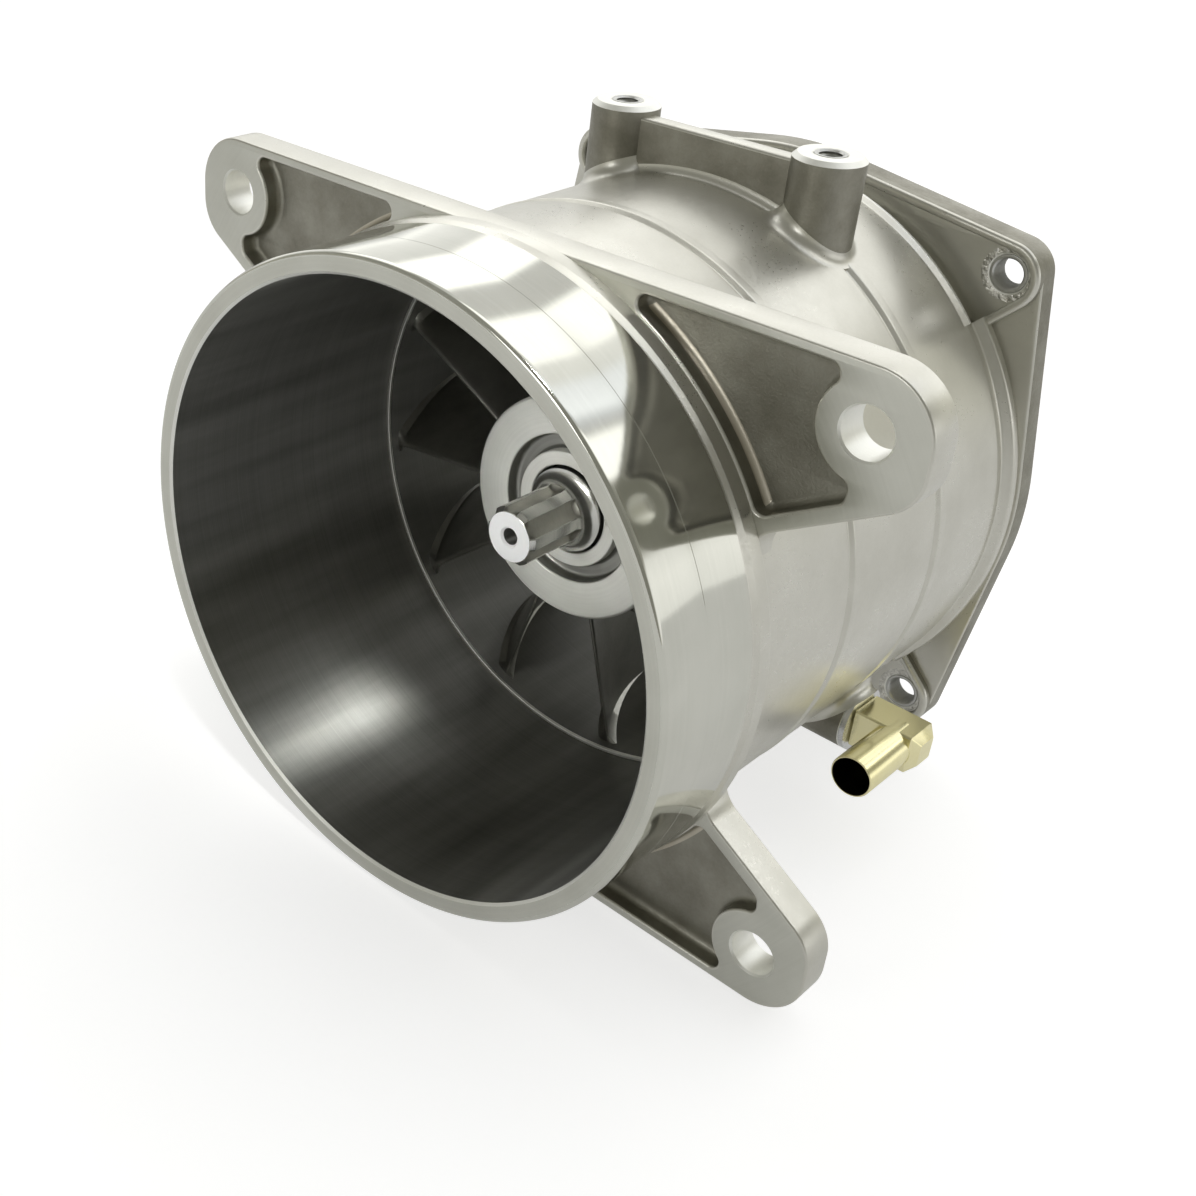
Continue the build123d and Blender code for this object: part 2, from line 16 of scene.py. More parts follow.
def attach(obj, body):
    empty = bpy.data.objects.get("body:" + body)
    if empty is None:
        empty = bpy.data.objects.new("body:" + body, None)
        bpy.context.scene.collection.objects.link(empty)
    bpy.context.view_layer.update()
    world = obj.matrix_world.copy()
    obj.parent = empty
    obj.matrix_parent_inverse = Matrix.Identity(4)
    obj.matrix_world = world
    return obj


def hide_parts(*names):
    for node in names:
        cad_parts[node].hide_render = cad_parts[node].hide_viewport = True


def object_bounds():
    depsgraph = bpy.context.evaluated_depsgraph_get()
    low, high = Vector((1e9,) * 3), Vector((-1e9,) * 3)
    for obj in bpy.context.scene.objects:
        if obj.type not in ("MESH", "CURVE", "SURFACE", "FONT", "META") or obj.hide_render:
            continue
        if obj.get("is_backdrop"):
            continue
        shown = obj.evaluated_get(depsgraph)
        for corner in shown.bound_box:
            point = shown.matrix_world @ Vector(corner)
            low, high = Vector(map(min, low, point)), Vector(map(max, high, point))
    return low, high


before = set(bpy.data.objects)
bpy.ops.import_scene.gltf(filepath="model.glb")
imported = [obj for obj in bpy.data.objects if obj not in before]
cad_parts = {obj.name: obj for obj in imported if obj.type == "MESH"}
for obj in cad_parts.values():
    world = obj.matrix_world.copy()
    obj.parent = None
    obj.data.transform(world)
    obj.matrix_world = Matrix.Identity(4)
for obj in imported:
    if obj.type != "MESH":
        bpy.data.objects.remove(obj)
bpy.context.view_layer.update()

MM = 0.001

# Housing, turned surfaces
bore_r = 81.2
barrel_r = 86.7
body_r = 83.3
mouth_y = -38.0
lip_bevel = 0.7
lip_round = 1.3
witness_y = -21.7
witness_depth = 0.08
shoulder_r = 87.4
shoulder_y = -5.8
shoulder_face = -4.2
groove_lines = (41.2, 83.0)
groove_depth = 0.9
groove_half = 1.4
groove_crest = 0.25
groove_land = 3.2
stator_back = 110.0
shroud_back_r = 77.0
duct_exit_r = 74.5

# Mounting plate and its ears
plate_back = 9.7
ear_x = 97.5
ear_z = 71.0
ear_r = 14.7
ear_hole_r = 6.0
ear_pad_r = 12.0
waist_slope = 0.6
waist_drop = 17.4
waist_round = 12.0
waist_fillet = 9.0
top_rim = 2.6
waist_rim = 4.0
pocket_depth = 5.0
pocket_round = 2.5
pocket_cove = 1.8
pocket_inner_r = 87.9
pocket_heel_x = 95.5

# Rear flange
flange_front = 125.0
flange_back = 132.1
rim_front = 122.2
flange_r = 85.7
lobe_at = 67.0
lobe_r = 9.5
rim_width = 2.6
rim_sink = 0.6
rim_gap = 0.05
rim_foot_round = 0.3
rim_inside_round = 2.0
spotface_sink = 0.15
hole_edge = 0.4
flange_bolt_r = 5.22
channel_front = 117.6
channel_r = 79.1

# Posts, web and side boss
post_x = 32.0
post_y = 84.5
post_r = 9.5
post_top = 97.8
post_bore_r = 4.22
post_foot = 4.0
web_front = 80.1
web_back = 85.6
web_top = 95.3
boss_y = 89.0
boss_z = -57.1
boss_r = 9.7
boss_face = 70.9
boss_foot = 3.0
seat_gap_r = 4.92
boss_seat_depth = 7.8
post_chamfer = 1.2
post_hole_depth = 14.0
web_foot = 2.5
web_edge = 0.8
side_dip = 0.9
side_dip_start = 115.5
side_dip_y = 119.4
side_bead = 1.9
side_bead_front = 121.0
side_bead_back = 123.6
side_foot = 0.9
channel_lip = 0.5
channel_lip_start = 113.4
channel_lip_dip = 114.6
channel_lip_top = 116.4
edge_r = 0.6
rim_edge = 1.1
pocket_edge = 0.7
foot_sink = 0.6
sliver = 0.02
hole_chamfer = 0.5
ring_steps = 256
post_steps = 96
foot_steps = 8
web_steps = 64
barrel_sink = 1.0
hole_steps = 64

# Stator
stator_front = 46.0
entry_r = 80.0
shroud_lip = 0.9
slip = 0.02
vane_count = 12
vane_phase = 10.6
vane_turn = 12.5
vane_turn_length = 40.0
vane_lead_hub = 42.7
vane_lead_tip = 49.6
vane_trail = 107.0
vane_thick = 3.6
vane_edge = 1.3
vane_nose = 0.9
vane_foot = 2.2
vane_root_sunk = 0.4
vane_tip_sunk = 0.5

# Seal carrier in the hub's face
hub_face = 35.2
hub_r = 32.5
hub_edge = 1.4
carrier_flange = 2.3
carrier_body_r = 22.4
face_groove_outer = 21.5
face_groove_inner = 16.8
face_groove_depth = 4.0
shaft_opening_r = 12.7
carrier_wall = 2.2
seal_r = 19.0
seal_length = 14.0
carrier_ring_y = 46.75
ring_r = 0.9

# Impeller shaft
shaft_tip = 11.4
tip_chamfer = 1.2
spline_r = 8.4
spline_end = 30.0
flare_length = 4.5
journal_r = 12.0
collar_r = 13.6
collar_length = 2.4
front_bearing = 59.0
bearing_bore_r = 10.0
stack_end = 104.0
thread_r = 9.0
thread_length = 10.5
spline_count = 6
spline_phase = 35.0
flute_r = 4.9
flute_floor = 7.1
flute_end = 30.2
flute_fade = 1.0
centre_hole_r = 2.4
centre_hole_depth = 12.0

# Hose elbow
washer_thick = 1.5
elbow_size = 11.8
elbow_reach = 20.0
elbow_chamfer = 2.4
elbow_edge = 0.5
tube_x = 84.4
tube_end = 63.1
tube_r = 6.15
tube_wall = 0.65
tube_bottom = 84.0
spigot_r = 4.9
spigot_length = 7.5

# Thread inserts
flange_bore_r = 4.0
flange_insert_r = 5.2
post_bore = 3.0
post_insert_r = 4.2
thread_pitch = 1.0
thread_depth = 0.45
spotface_r = 7.4


def rotated(vector, angle):
    """A flat vector turned anticlockwise by an angle in radians."""
    return np.array((vector[0] * cos(angle) - vector[1] * sin(angle),
                     vector[0] * sin(angle) + vector[1] * cos(angle)))


class Straight:
    """A straight edge of an outline, with the shape on its left."""

    def __init__(self, start, end):
        self.start = np.array(start, float)
        along = np.array(end, float) - self.start
        along /= np.linalg.norm(along)
        self.inward = np.array((-along[1], along[0]))

    def depth(self, point):
        return np.dot(point - self.start, self.inward), self.inward


class Round:
    """A round edge about a centre. A negative radius has the shape outside the circle."""

    def __init__(self, centre, radius):
        self.centre = np.array(centre, float)
        self.radius = radius

    def depth(self, point):
        away = point - self.centre
        reach = np.linalg.norm(away)
        side = 1 if self.radius > 0 else -1
        return self.radius - side * reach, -side * away / reach


def corner(first, second, near, radius):
    """The arc that rounds the corner between two edges, found from a point near it."""
    point = np.array(near, float)
    for _ in range(14):
        depths = [edge.depth(point) for edge in (first, second)]
        slopes = np.array([inward for _, inward in depths])
        miss = np.array([radius - depth for depth, _ in depths])
        point = point + np.linalg.solve(slopes, miss)
    start, end = [atan2(-inward[1], -inward[0]) for _, inward in depths]
    return Arc(point, radius, start, end)


class Arc:
    """Part of an outline: points at one radius about a centre, from one outward angle to another."""

    def __init__(self, centre, radius, start, end):
        self.centre = np.array(centre, float)
        self.radius = radius
        turn = (end - start) % (2 * pi)
        self.start = start
        self.turn = turn if radius > 0 else turn - 2 * pi
        if abs(abs(self.turn) - 2 * pi) < 1e-6:
            self.turn = 0.0

    def end(self):
        return self.start + self.turn

    def mirrored(self, x=1, z=1):
        """This arc mirrored left to right (x = -1) or top to bottom (z = -1), still anticlockwise."""
        made = Arc(self.centre * (x, z), self.radius, 0, 0)
        made.start = pi - self.end() if x < 0 else -self.end()
        made.turn = self.turn
        return made

    def samples(self):
        steps = max(1, ceil(abs(self.turn) / radians(4)), ceil(abs(self.turn * self.radius) / 1.2))
        for step in range(steps + 1):
            angle = self.start + self.turn * step / steps
            out = np.array((cos(angle), sin(angle)))
            yield self.centre + self.radius * out, out


def outline(arcs):
    """Points and outward normals of a closed shape made of arcs joined by straight lines."""
    points, normals = [], []
    for arc in arcs:
        for point, out in arc.samples():
            if not points or np.linalg.norm(point - points[-1]) > 1e-4:
                points.append(point)
                normals.append(out)
    if np.linalg.norm(points[0] - points[-1]) < 1e-4:
        points.pop()
        normals.pop()
    return np.array(points), np.array(normals)


def circle(centre, radius, count=96):
    """Points and outward normals of a circle."""
    angles = np.arange(count) * 2 * pi / count
    out = np.stack((np.cos(angles), np.sin(angles)), axis=1)
    return np.array(centre) + radius * out, out


def mirrored(shape, x=1, z=1):
    """A shape mirrored left to right or top to bottom, still anticlockwise."""
    flip = np.array((x, z))
    points, normals = shape[0] * flip, shape[1] * flip
    return (points[::-1], normals[::-1]) if x * z < 0 else (points, normals)


class Skin:
    """A closed mesh built ring by ring across the pump axis."""

    def __init__(self):
        self.mesh = bmesh.new()

    def line(self, places):
        return [self.mesh.verts.new(place) for place in places]

    def ring(self, shape, grow, y):
        return self.line((x, y, z) for x, z in shape[0] + shape[1] * grow)

    def band(self, first, second, slot=0):
        for i in range(len(first)):
            j = (i + 1) % len(first)
            face = self.mesh.faces.new((first[i], first[j], second[j], second[i]))
            face.material_index = slot if isinstance(slot, int) else slot[i]
            face.smooth = True

    def bands(self, rings, slots=None, closed=False):
        """Bands from each ring to the next one, and on a closed skin back to the first."""
        for i in range(len(rings) if closed else len(rings) - 1):
            self.band(rings[i], rings[(i + 1) % len(rings)], slots[i] if slots else 0)

    def wall(self, shape, levels, slots=None):
        """Bands through (grow, y) levels. Returns the first and last rings."""
        rings = [self.ring(shape, grow, y) for grow, y in levels]
        self.bands(rings, slots)
        return rings[0], rings[-1]

    def drill(self, shapes, levels, slots, fronts, backs):
        """Walls down through a plate, with their end loops added to those of its two faces."""
        for shape in shapes:
            mouth, end = self.wall(shape, levels, slots)
            fronts.append(mouth)
            backs.append(end)

    def cap(self, loops, slot=0):
        """Triangles over the first loop, less the others."""
        corners = [vert for loop in loops for vert in loop]
        flat = [[(vert.co.x, vert.co.z, 0) for vert in loop] for loop in loops]
        for a, b, c in tessellate_polygon(flat):
            if len({a, b, c}) == 3:
                self.mesh.faces.new((corners[a], corners[b], corners[c])).material_index = slot

    def fan(self, ring, place, slot=0):
        """Triangles from a ring to one place inside it."""
        middle = self.mesh.verts.new(place)
        for i in range(len(ring)):
            self.mesh.faces.new((ring[i], ring[(i + 1) % len(ring)], middle)).material_index = slot

    def lids(self, *rings):
        for ring in rings:
            self.mesh.faces.new(ring)

    def finished(self, name, finishes, sharp=32):
        """The mesh as an object at the origin, in metres, with its faces turned outwards."""
        bmesh.ops.remove_doubles(self.mesh, verts=self.mesh.verts, dist=1e-4)
        bmesh.ops.recalc_face_normals(self.mesh, faces=self.mesh.faces)
        bmesh.ops.scale(self.mesh, vec=(MM, MM, MM), verts=self.mesh.verts)
        data = bpy.data.meshes.new(name)
        self.mesh.to_mesh(data)
        self.mesh.free()
        data.set_sharp_from_angle(angle=radians(sharp))
        for finish in finishes:
            data.materials.append(finish)
        return placed(name, data)


def placed(name, data):
    """A new object in the scene, at the origin."""
    made = bpy.data.objects.new(name, data)
    bpy.context.scene.collection.objects.link(made)
    return made


def turns(count, whole=2 * pi):
    """Angles that part a whole turn into equal steps."""
    return [whole * i / count for i in range(count)]


def quarter(steps):
    """Angles from 0 to a right angle."""
    return [pi / 2 * i / steps for i in range(steps + 1)]


def edge_round(face_y, radius, step=1, steps=4):
    """Levels that round an edge, from a face at face_y to the side wall. Step is the way off the face."""
    return [(-radius + radius * sin(t), face_y + step * (radius - radius * cos(t))) for t in quarter(steps)]


def softened(points):
    """A closed profile from (radius, y, rounding, slot) points, with its corners rounded."""
    count = len(points)
    result = []
    for i, (r, y, rounding, slot) in enumerate(points):
        here = np.array((r, y), float)
        if rounding == 0:
            result.append((r, y, slot))
            continue
        before = np.array(points[i - 1][:2], float) - here
        after = np.array(points[(i + 1) % count][:2], float) - here
        reach = min(np.linalg.norm(before), np.linalg.norm(after)) * 0.499
        before /= np.linalg.norm(before)
        after /= np.linalg.norm(after)
        half = acos(np.clip(np.dot(before, after), -1, 1)) / 2
        back = min(rounding / tan(half), reach)
        radius = back * tan(half)
        middle = before + after
        centre = here + middle / np.linalg.norm(middle) * radius / sin(half)
        start = here + before * back - centre
        sweep = pi - 2 * half
        way = 1 if start[0] * (here - centre)[1] - start[1] * (here - centre)[0] > 0 else -1
        steps = max(2, ceil(degrees(sweep) / 12))
        for step in range(steps + 1):
            place = centre + rotated(start, way * sweep * step / steps)
            result.append((place[0], place[1], slot))
    return result


def turned(name, points, finishes, segments=ring_steps, sharp=32):
    """A turned solid from a closed profile of (radius, y, rounding, slot) points."""
    skin = Skin()
    profile = softened(points)
    rings = [skin.ring(circle((0, 0), max(r, 0), segments), 0, y) for r, y, _ in profile]
    skin.bands(rings, [slot for _, _, slot in profile], closed=True)
    return skin.finished(name, finishes, sharp)


# Materials
FLOAT, COLOUR = "NodeSocketFloat", "NodeSocketColor"


def fill(made, inputs):
    """A node with its inputs set to values or linked to sockets."""
    for key, value in inputs.items():
        if isinstance(value, bpy.types.NodeSocket):
            made.id_data.links.new(value, made.inputs[key])
        else:
            made.inputs[key].default_value = value
    return made


def node(tree, kind, settings=(), links=()):
    """A new node with its settings and its inputs."""
    made = tree.nodes.new(kind)
    for attribute, value in dict(settings).items():
        setattr(made, attribute, value)
    return fill(made, dict(links))


def maths(tree, operation, *values):
    """The result of one sum on numbers and sockets."""
    return node(tree, "ShaderNodeMath", {"operation": operation}, dict(enumerate(values))).outputs[0]


def remap(tree, value, low, high, new_low=0.0, new_high=1.0):
    """A value carried from one range to another and held inside it."""
    return node(tree, "ShaderNodeMapRange", links={
        "Value": value, "From Min": low, "From Max": high,
        "To Min": new_low, "To Max": new_high}).outputs["Result"]


def mixed(tree, share, first, second):
    """A colour on the way from the first to the second."""
    return node(tree, "ShaderNodeMix", {"data_type": "RGBA"}, {
        "Factor": share, 6: first, 7: second}).outputs[2]


def noise(tree, place, scale, detail, roughness=0.5):
    """Soft noise from 0 to 1."""
    return node(tree, "ShaderNodeTexNoise", links={
        "Vector": place, "Scale": scale, "Detail": detail, "Roughness": roughness}).outputs["Fac"]


def group_socket(tree, label, kind, way="INPUT"):
    """A new input or output of a node group."""
    return tree.interface.new_socket(label, in_out=way, socket_type=kind)


def effect_group(name, scales):
    """A new node group for a finish, with its given values, its results and the place on the piece."""
    tree = bpy.data.node_groups.new(name, "ShaderNodeTree")
    for label in ("Light", "Dark"):
        group_socket(tree, label, COLOUR)
    for label, value in {"Roughness": 0.3, **scales}.items():
        group_socket(tree, label, FLOAT).default_value = value
    for label, kind in (("Colour", COLOUR), ("Roughness", FLOAT), ("Height", FLOAT)):
        group_socket(tree, label, kind, "OUTPUT")
    given = tree.nodes.new("NodeGroupInput").outputs
    results = tree.nodes.new("NodeGroupOutput")
    return tree, given, results, tree.nodes.new("ShaderNodeTexCoord").outputs["Object"]


def blasted_group():
    """Shot-blasted casting: soft cloudy mottling and a fine pebbled grain."""
    tree, given, results, place = effect_group("blasted casting", {"Cloud scale": 40.0, "Grain scale": 1400.0})
    grain = noise(tree, place, given["Grain scale"], 2.0)
    shade = remap(tree, noise(tree, place, given["Cloud scale"], 5.0, 0.6), 0.3, 0.7)
    speckled = maths(tree, "ADD", given["Roughness"], remap(tree, grain, 0.3, 0.7, -0.06, 0.06))
    fill(results, {
        "Colour": mixed(tree, shade, given["Dark"], given["Light"]),
        "Roughness": maths(tree, "MULTIPLY_ADD", shade, -0.06, speckled), "Height": grain})
    return tree


def turning_group():
    """Fine turning marks: rings on a face and lines round a barrel, with faint tool chatter."""
    tree, given, results, place = effect_group("turning marks", {
        "Pitch scale": 1600.0, "Spread": 0.06, "Streak": 1.0, "Cloud scale": 55.0})
    parts = node(tree, "ShaderNodeSeparateXYZ", links={0: place}).outputs
    flat = node(tree, "ShaderNodeCombineXYZ", links={0: parts["X"], 2: parts["Z"]})
    radius = node(tree, "ShaderNodeVectorMath", {"operation": "LENGTH"}, {0: flat.outputs[0]})
    along = node(tree, "ShaderNodeCombineXYZ", links={0: radius.outputs["Value"], 1: parts["Y"]})
    marks = noise(tree, along.outputs[0], given["Pitch scale"], 3.0, 0.7)
    squeeze = node(tree, "ShaderNodeCombineXYZ", links={0: 1.0, 1: given["Streak"], 2: 1.0})
    drawn = node(tree, "ShaderNodeVectorMath", {"operation": "MULTIPLY"}, {0: place, 1: squeeze.outputs[0]})
    cloud = noise(tree, drawn.outputs[0], given["Cloud scale"], 4.0)
    shade = remap(tree, maths(tree, "MULTIPLY_ADD", marks, 0.5, cloud), 0.5, 1.0)
    fill(results, {
        "Colour": mixed(tree, shade, given["Dark"], given["Light"]),
        "Roughness": maths(tree, "MULTIPLY_ADD", shade, given["Spread"], given["Roughness"]), "Height": marks})
    return tree


blasted = blasted_group()
turning = turning_group()


def finish(name, effect, light, dark, roughness, bump, scales=(), metallic=1.0, depth=0.0002,
           anisotropic=0.0):
    """A material whose colour, roughness and bump come from one of the shared effects.

    A turned surface with an anisotropic shine smears it along the pump axis, across the tool marks.
    """
    made = bpy.data.materials.new(name)
    made.use_nodes = True
    tree = made.node_tree
    marks = node(tree, "ShaderNodeGroup", {"node_tree": effect}, {
        "Light": (*light, 1), "Dark": (*dark, 1), "Roughness": roughness, **dict(scales)}).outputs
    relief = node(tree, "ShaderNodeBump", links={
        "Strength": bump, "Distance": depth, "Height": marks["Height"]})
    shader = fill(tree.nodes["Principled BSDF"], {
        "Metallic": metallic, "Anisotropic": anisotropic, "Base Color": marks["Colour"],
        "Roughness": marks["Roughness"], "Normal": relief.outputs["Normal"]})
    if anisotropic:
        round_axis = node(tree, "ShaderNodeTangent", {"direction_type": "RADIAL", "axis": "Y"})
        fill(shader, {"Tangent": round_axis.outputs[0], "Anisotropic Rotation": 0.25})
    return made


# Each finish has its light and dark colour, its roughness and the strength of its bump.
cast_alloy = finish(
    "cast alloy", blasted, (0.72, 0.71, 0.65), (0.62, 0.61, 0.55), 0.37, 0.06, metallic=0.85)
pocket_alloy = finish(
    "rough casting", blasted, (0.38, 0.37, 0.32), (0.24, 0.23, 0.19), 0.5, 0.35, {"Cloud scale": 70.0})
# The pocket's foot cove beside the barrel: a lighter colour that paints the highlight on the fillet.
foot_highlight_alloy = finish("pocket foot painted highlight", blasted, (0.62, 0.58, 0.49), (0.50, 0.46, 0.38), 0.4, 0.02)
spotface_alloy = finish(
    "rough spotface", blasted, (0.90, 0.89, 0.84), (0.40, 0.39, 0.35), 0.35, 0.9,
    {"Cloud scale": 420.0, "Grain scale": 900.0}, depth=0.0006)
barrel_alloy = finish(
    "polished barrel", turning, (0.70, 0.70, 0.64), (0.63, 0.63, 0.57), 0.07, 0.02, {"Spread": 0.04},
    metallic=0.92)
face_alloy = finish(
    "machined face", turning, (0.66, 0.66, 0.60), (0.56, 0.56, 0.50), 0.33, 0.12,
    {"Spread": 0.1, "Pitch scale": 900.0})
# Bore, duct, bolt holes, seat bores and the shaft's centre hole: a dark colour that paints the shade inside
# them; the shine smeared along the axis is real.
bore_shade_alloy = finish(
    "bore with painted shade", turning, (0.30, 0.30, 0.28), (0.17, 0.17, 0.155), 0.44, 0.03,
    {"Spread": 0.08, "Pitch scale": 3000.0, "Streak": 0.1, "Cloud scale": 90.0}, anisotropic=0.95)
# Edges, lips, chamfers and the post tops: partly a brighter machined finish, partly a painted highlight along
# them.
lip_highlight_alloy = finish("bright lip with painted highlight", turning, (0.95, 0.95, 0.90), (0.84, 0.84, 0.80), 0.45, 0.08)
dark_casting = finish("dark casting", blasted, (0.48, 0.475, 0.44), (0.30, 0.30, 0.27), 0.4, 0.2)
# The hub's face: a brighter, less metallic copy of the machined face, painted light where little light reaches
# into the bore.
hub_face_lit_alloy = finish(
    "turned hub face with painted light", turning, (0.92, 0.92, 0.86), (0.78, 0.78, 0.72), 0.42, 0.12,
    {"Pitch scale": 1100.0}, metallic=0.6)
# The hub's ring groove and the shaft opening: a darker copy of the hub face, painted shade in the recess.
groove_shade_alloy = finish(
    "turned groove with painted shade", turning, (0.40, 0.40, 0.37), (0.27, 0.27, 0.25), 0.36, 0.12, {"Pitch scale": 1100.0})
# The shaft's steel end face: a white non-metal colour that paints its bright reflection.
shaft_end_highlight = finish(
    "shaft end painted highlight", turning, (0.98, 0.98, 0.98), (0.95, 0.95, 0.95), 0.5, 0.05, metallic=0.0)
shaft_steel = finish("turned shaft steel", turning, (0.74, 0.74, 0.71), (0.56, 0.56, 0.53), 0.2, 0.08)
flute_steel = finish("milled flute", turning, (0.60, 0.59, 0.53), (0.44, 0.43, 0.38), 0.3, 0.08)
elbow_brass = finish(
    "bright brass", turning, (0.98, 0.92, 0.58), (0.90, 0.83, 0.48), 0.2, 0.05, {"Pitch scale": 900.0})
# Inside the elbow's tube: a near-black colour, painted shade.
tube_shade = finish("tube bore painted shade", blasted, (0.05, 0.04, 0.025), (0.02, 0.016, 0.01), 0.5, 0.2)
washer_steel = finish("washer steel", turning, (0.75, 0.75, 0.74), (0.6, 0.6, 0.6), 0.25, 0.08)
insert_steel = finish("insert steel", turning, (0.62, 0.62, 0.60), (0.4, 0.4, 0.38), 0.3, 0.1)
spring_steel = finish("spring steel", turning, (0.4, 0.4, 0.41), (0.26, 0.26, 0.27), 0.3, 0.08)
bearing_steel = finish("ground bearing steel", turning, (0.72, 0.72, 0.74), (0.62, 0.62, 0.64), 0.12, 0.04)
ball_steel = finish("polished ball steel", blasted, (0.82, 0.82, 0.84), (0.78, 0.78, 0.8), 0.08, 0.01)
cage_steel = finish("pressed cage steel", blasted, (0.58, 0.56, 0.52), (0.44, 0.42, 0.39), 0.3, 0.1)
seal_rubber = finish(
    "seal rubber", blasted, (0.03, 0.03, 0.03), (0.015, 0.015, 0.015), 0.6, 0.3, metallic=0.0)
cone_plastic = finish(
    "moulded cone plastic", blasted, (0.06, 0.06, 0.062), (0.035, 0.035, 0.037), 0.45, 0.25, metallic=0.0)
screw_steel = finish("screw steel", turning, (0.62, 0.62, 0.62), (0.45, 0.45, 0.45), 0.22, 0.06)

node_finishes = {
    cast_alloy: "pump_housing",
    bore_shade_alloy: "stator_shroud",
    dark_casting: "stator_vanes stator_hub",
    hub_face_lit_alloy: "seal_carrier",
    seal_rubber: "carrier_oring outer_lip_seal inner_lip_seal cone_oring",
    spring_steel: "garter_springs circlip",
    bearing_steel: "front_outer_race rear_outer_race front_inner_race rear_inner_race",
    ball_steel: "front_balls rear_balls",
    cage_steel: "front_cage rear_cage",
    face_alloy: "outer_spacer inner_spacer",
    shaft_steel: "impeller_shaft shaft_nut",
    washer_steel: "nut_washer elbow_washer",
    cone_plastic: "tail_cone",
    screw_steel: "cone_screws",
    elbow_brass: "cone_plug brass_elbow",
    insert_steel: "post_inserts flange_inserts",
}
for made, names in node_finishes.items():
    for name in names.split():
        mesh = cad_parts[name].data
        mesh.materials.clear()
        mesh.materials.append(made)


# Housing
# Housing slots: the bore slot's dark colour is painted shade, the lip slot is partly a brighter machined edge
# and partly a painted highlight, the foot slot is a painted highlight.
POLISHED, CAST, BORE_SHADE, LIP_HIGHLIGHT, FACE, RAW, FOOT_HIGHLIGHT, CUT = range(8)
housing_finishes = [barrel_alloy, cast_alloy, bore_shade_alloy, lip_highlight_alloy, face_alloy, pocket_alloy,
                    foot_highlight_alloy, spotface_alloy]


def carried(piece, body, slot, *nodes):
    """A piece that rides on a body and stands for CAD nodes, which are hidden. Its slot is not used."""
    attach(piece, body)
    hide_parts(*nodes)


def duct_r(y):
    """Radius of the outlet duct at y."""
    share = (y - stator_back) / (flange_back - stator_back)
    return shroud_back_r + (duct_exit_r - shroud_back_r) * share


def sector_edge(radius):
    """Angle from the X axis at which the side of a channel meets a radius."""
    return pi / 4 - asin((lobe_r - rim_width - rim_gap) / radius)


def shell_sections():
    """The shell's section at its sides and in its channels, with as many points in each."""
    front = [
        # The mouth's bevel takes the bright lip finish: partly machined, partly a painted highlight.
        (bore_r, mouth_y + lip_bevel, 0, LIP_HIGHLIGHT),
        (bore_r + lip_bevel, mouth_y, 0, FACE),
        (barrel_r, mouth_y, lip_round, POLISHED),
        (barrel_r, witness_y - witness_depth, 0, POLISHED),
        (barrel_r - witness_depth, witness_y, 0, POLISHED),
        (barrel_r, witness_y + witness_depth, 0, POLISHED),
        (barrel_r, shoulder_y, 1.5, CAST),
        (shoulder_r, shoulder_face, 0.4, CAST),
        (shoulder_r, 0, 0.3, CAST),
        (body_r, 0.1, 0.3, CAST),
    ]
    for line_y in groove_lines:
        front += [
            (body_r, line_y - groove_half, 1.0, CAST),
            (body_r - groove_depth, line_y, 0.6, CAST),
            (body_r + groove_crest, line_y + groove_half, 0.8, CAST),
            (body_r, line_y + groove_half + groove_land, 1.5, CAST),
        ]
    front.append((body_r, channel_lip_start, 0, CAST))
    side = [
        (body_r, side_dip_start, 1.5, CAST),
        (body_r - side_dip, side_dip_y, 1.0, CAST),
        (body_r + side_bead, side_bead_front, 1.2, CAST),
        (body_r + side_bead, side_bead_back, 1.0, CAST),
        (body_r + side_foot, flange_front - 0.3, 0.3, CAST),
        (body_r + side_foot, flange_front + edge_r, 0, CAST),
    ]
    # The channel's rounded lip takes the bright lip finish, a painted highlight.
    channel = [
        (body_r - channel_lip, channel_lip_dip, 1.0, CAST),
        (body_r + channel_lip, channel_lip_top, 0.6, LIP_HIGHLIGHT),
        (body_r + channel_lip, channel_front, 0.6, LIP_HIGHLIGHT),
        (channel_r, channel_front + 0.2, 1.2, CAST),
        (channel_r, flange_front + edge_r, 0, CAST),
    ]
    # The duct inside the flange takes the dark bore finish: painted shade.
    back = [
        (duct_r(flange_front), flange_front, 0, BORE_SHADE),
        (shroud_back_r, stator_back, 0, BORE_SHADE),
        (bore_r, stator_back, 0, BORE_SHADE),
    ]
    sections = [softened(front + middle + back) for middle in (side, channel)]
    longest = max(len(section) for section in sections)
    split = -len(back)
    return [section[:split] + [section[split - 1]] * (longest - len(section)) + section[split:]
            for section in sections]


def shell_columns():
    """Angles round the shell, as (turn, order, whether in a channel, side of a channel's edge)."""
    edge = degrees(sector_edge(body_r))
    columns = []
    for angle in range(360):
        folded = abs((angle + 90) % 180 - 90)
        if abs(folded - edge) > 0.8:
            columns.append((angle, 0, folded > edge, 0))
    for angle, side in ((edge, 1), (180 - edge, -1), (180 + edge, 1), (360 - edge, -1)):
        columns.append((angle, -side, False, side))
        columns.append((angle, side, True, side))
    return sorted(columns)


def housing_shell():
    """Barrel, body and bore as one wall, sunk at the channels."""
    skin = Skin()
    columns = shell_columns()
    rings, slots = [], []
    for plain, sunk in zip(*shell_sections()):
        ring = []
        for angle, _, inside, side in columns:
            radius, y = (sunk if inside else plain)[:2]
            turn = radians(angle) + side * (sector_edge(radius) - sector_edge(body_r))
            ring.append((radius * cos(turn), y, radius * sin(turn)))
        rings.append(skin.line(ring))
        slots.append([(sunk if column[2] else plain)[2] for column in columns])
    skin.bands(rings, slots, closed=True)
    return skin.finished("housing_shell", housing_finishes)


def waist_z(x, rim=0.0):
    """Height of the plate's sloping waist edge at x, or of a line inside it."""
    return ear_z + waist_slope * (x - ear_x) + (rim - waist_drop) * sqrt(1 + waist_slope ** 2)


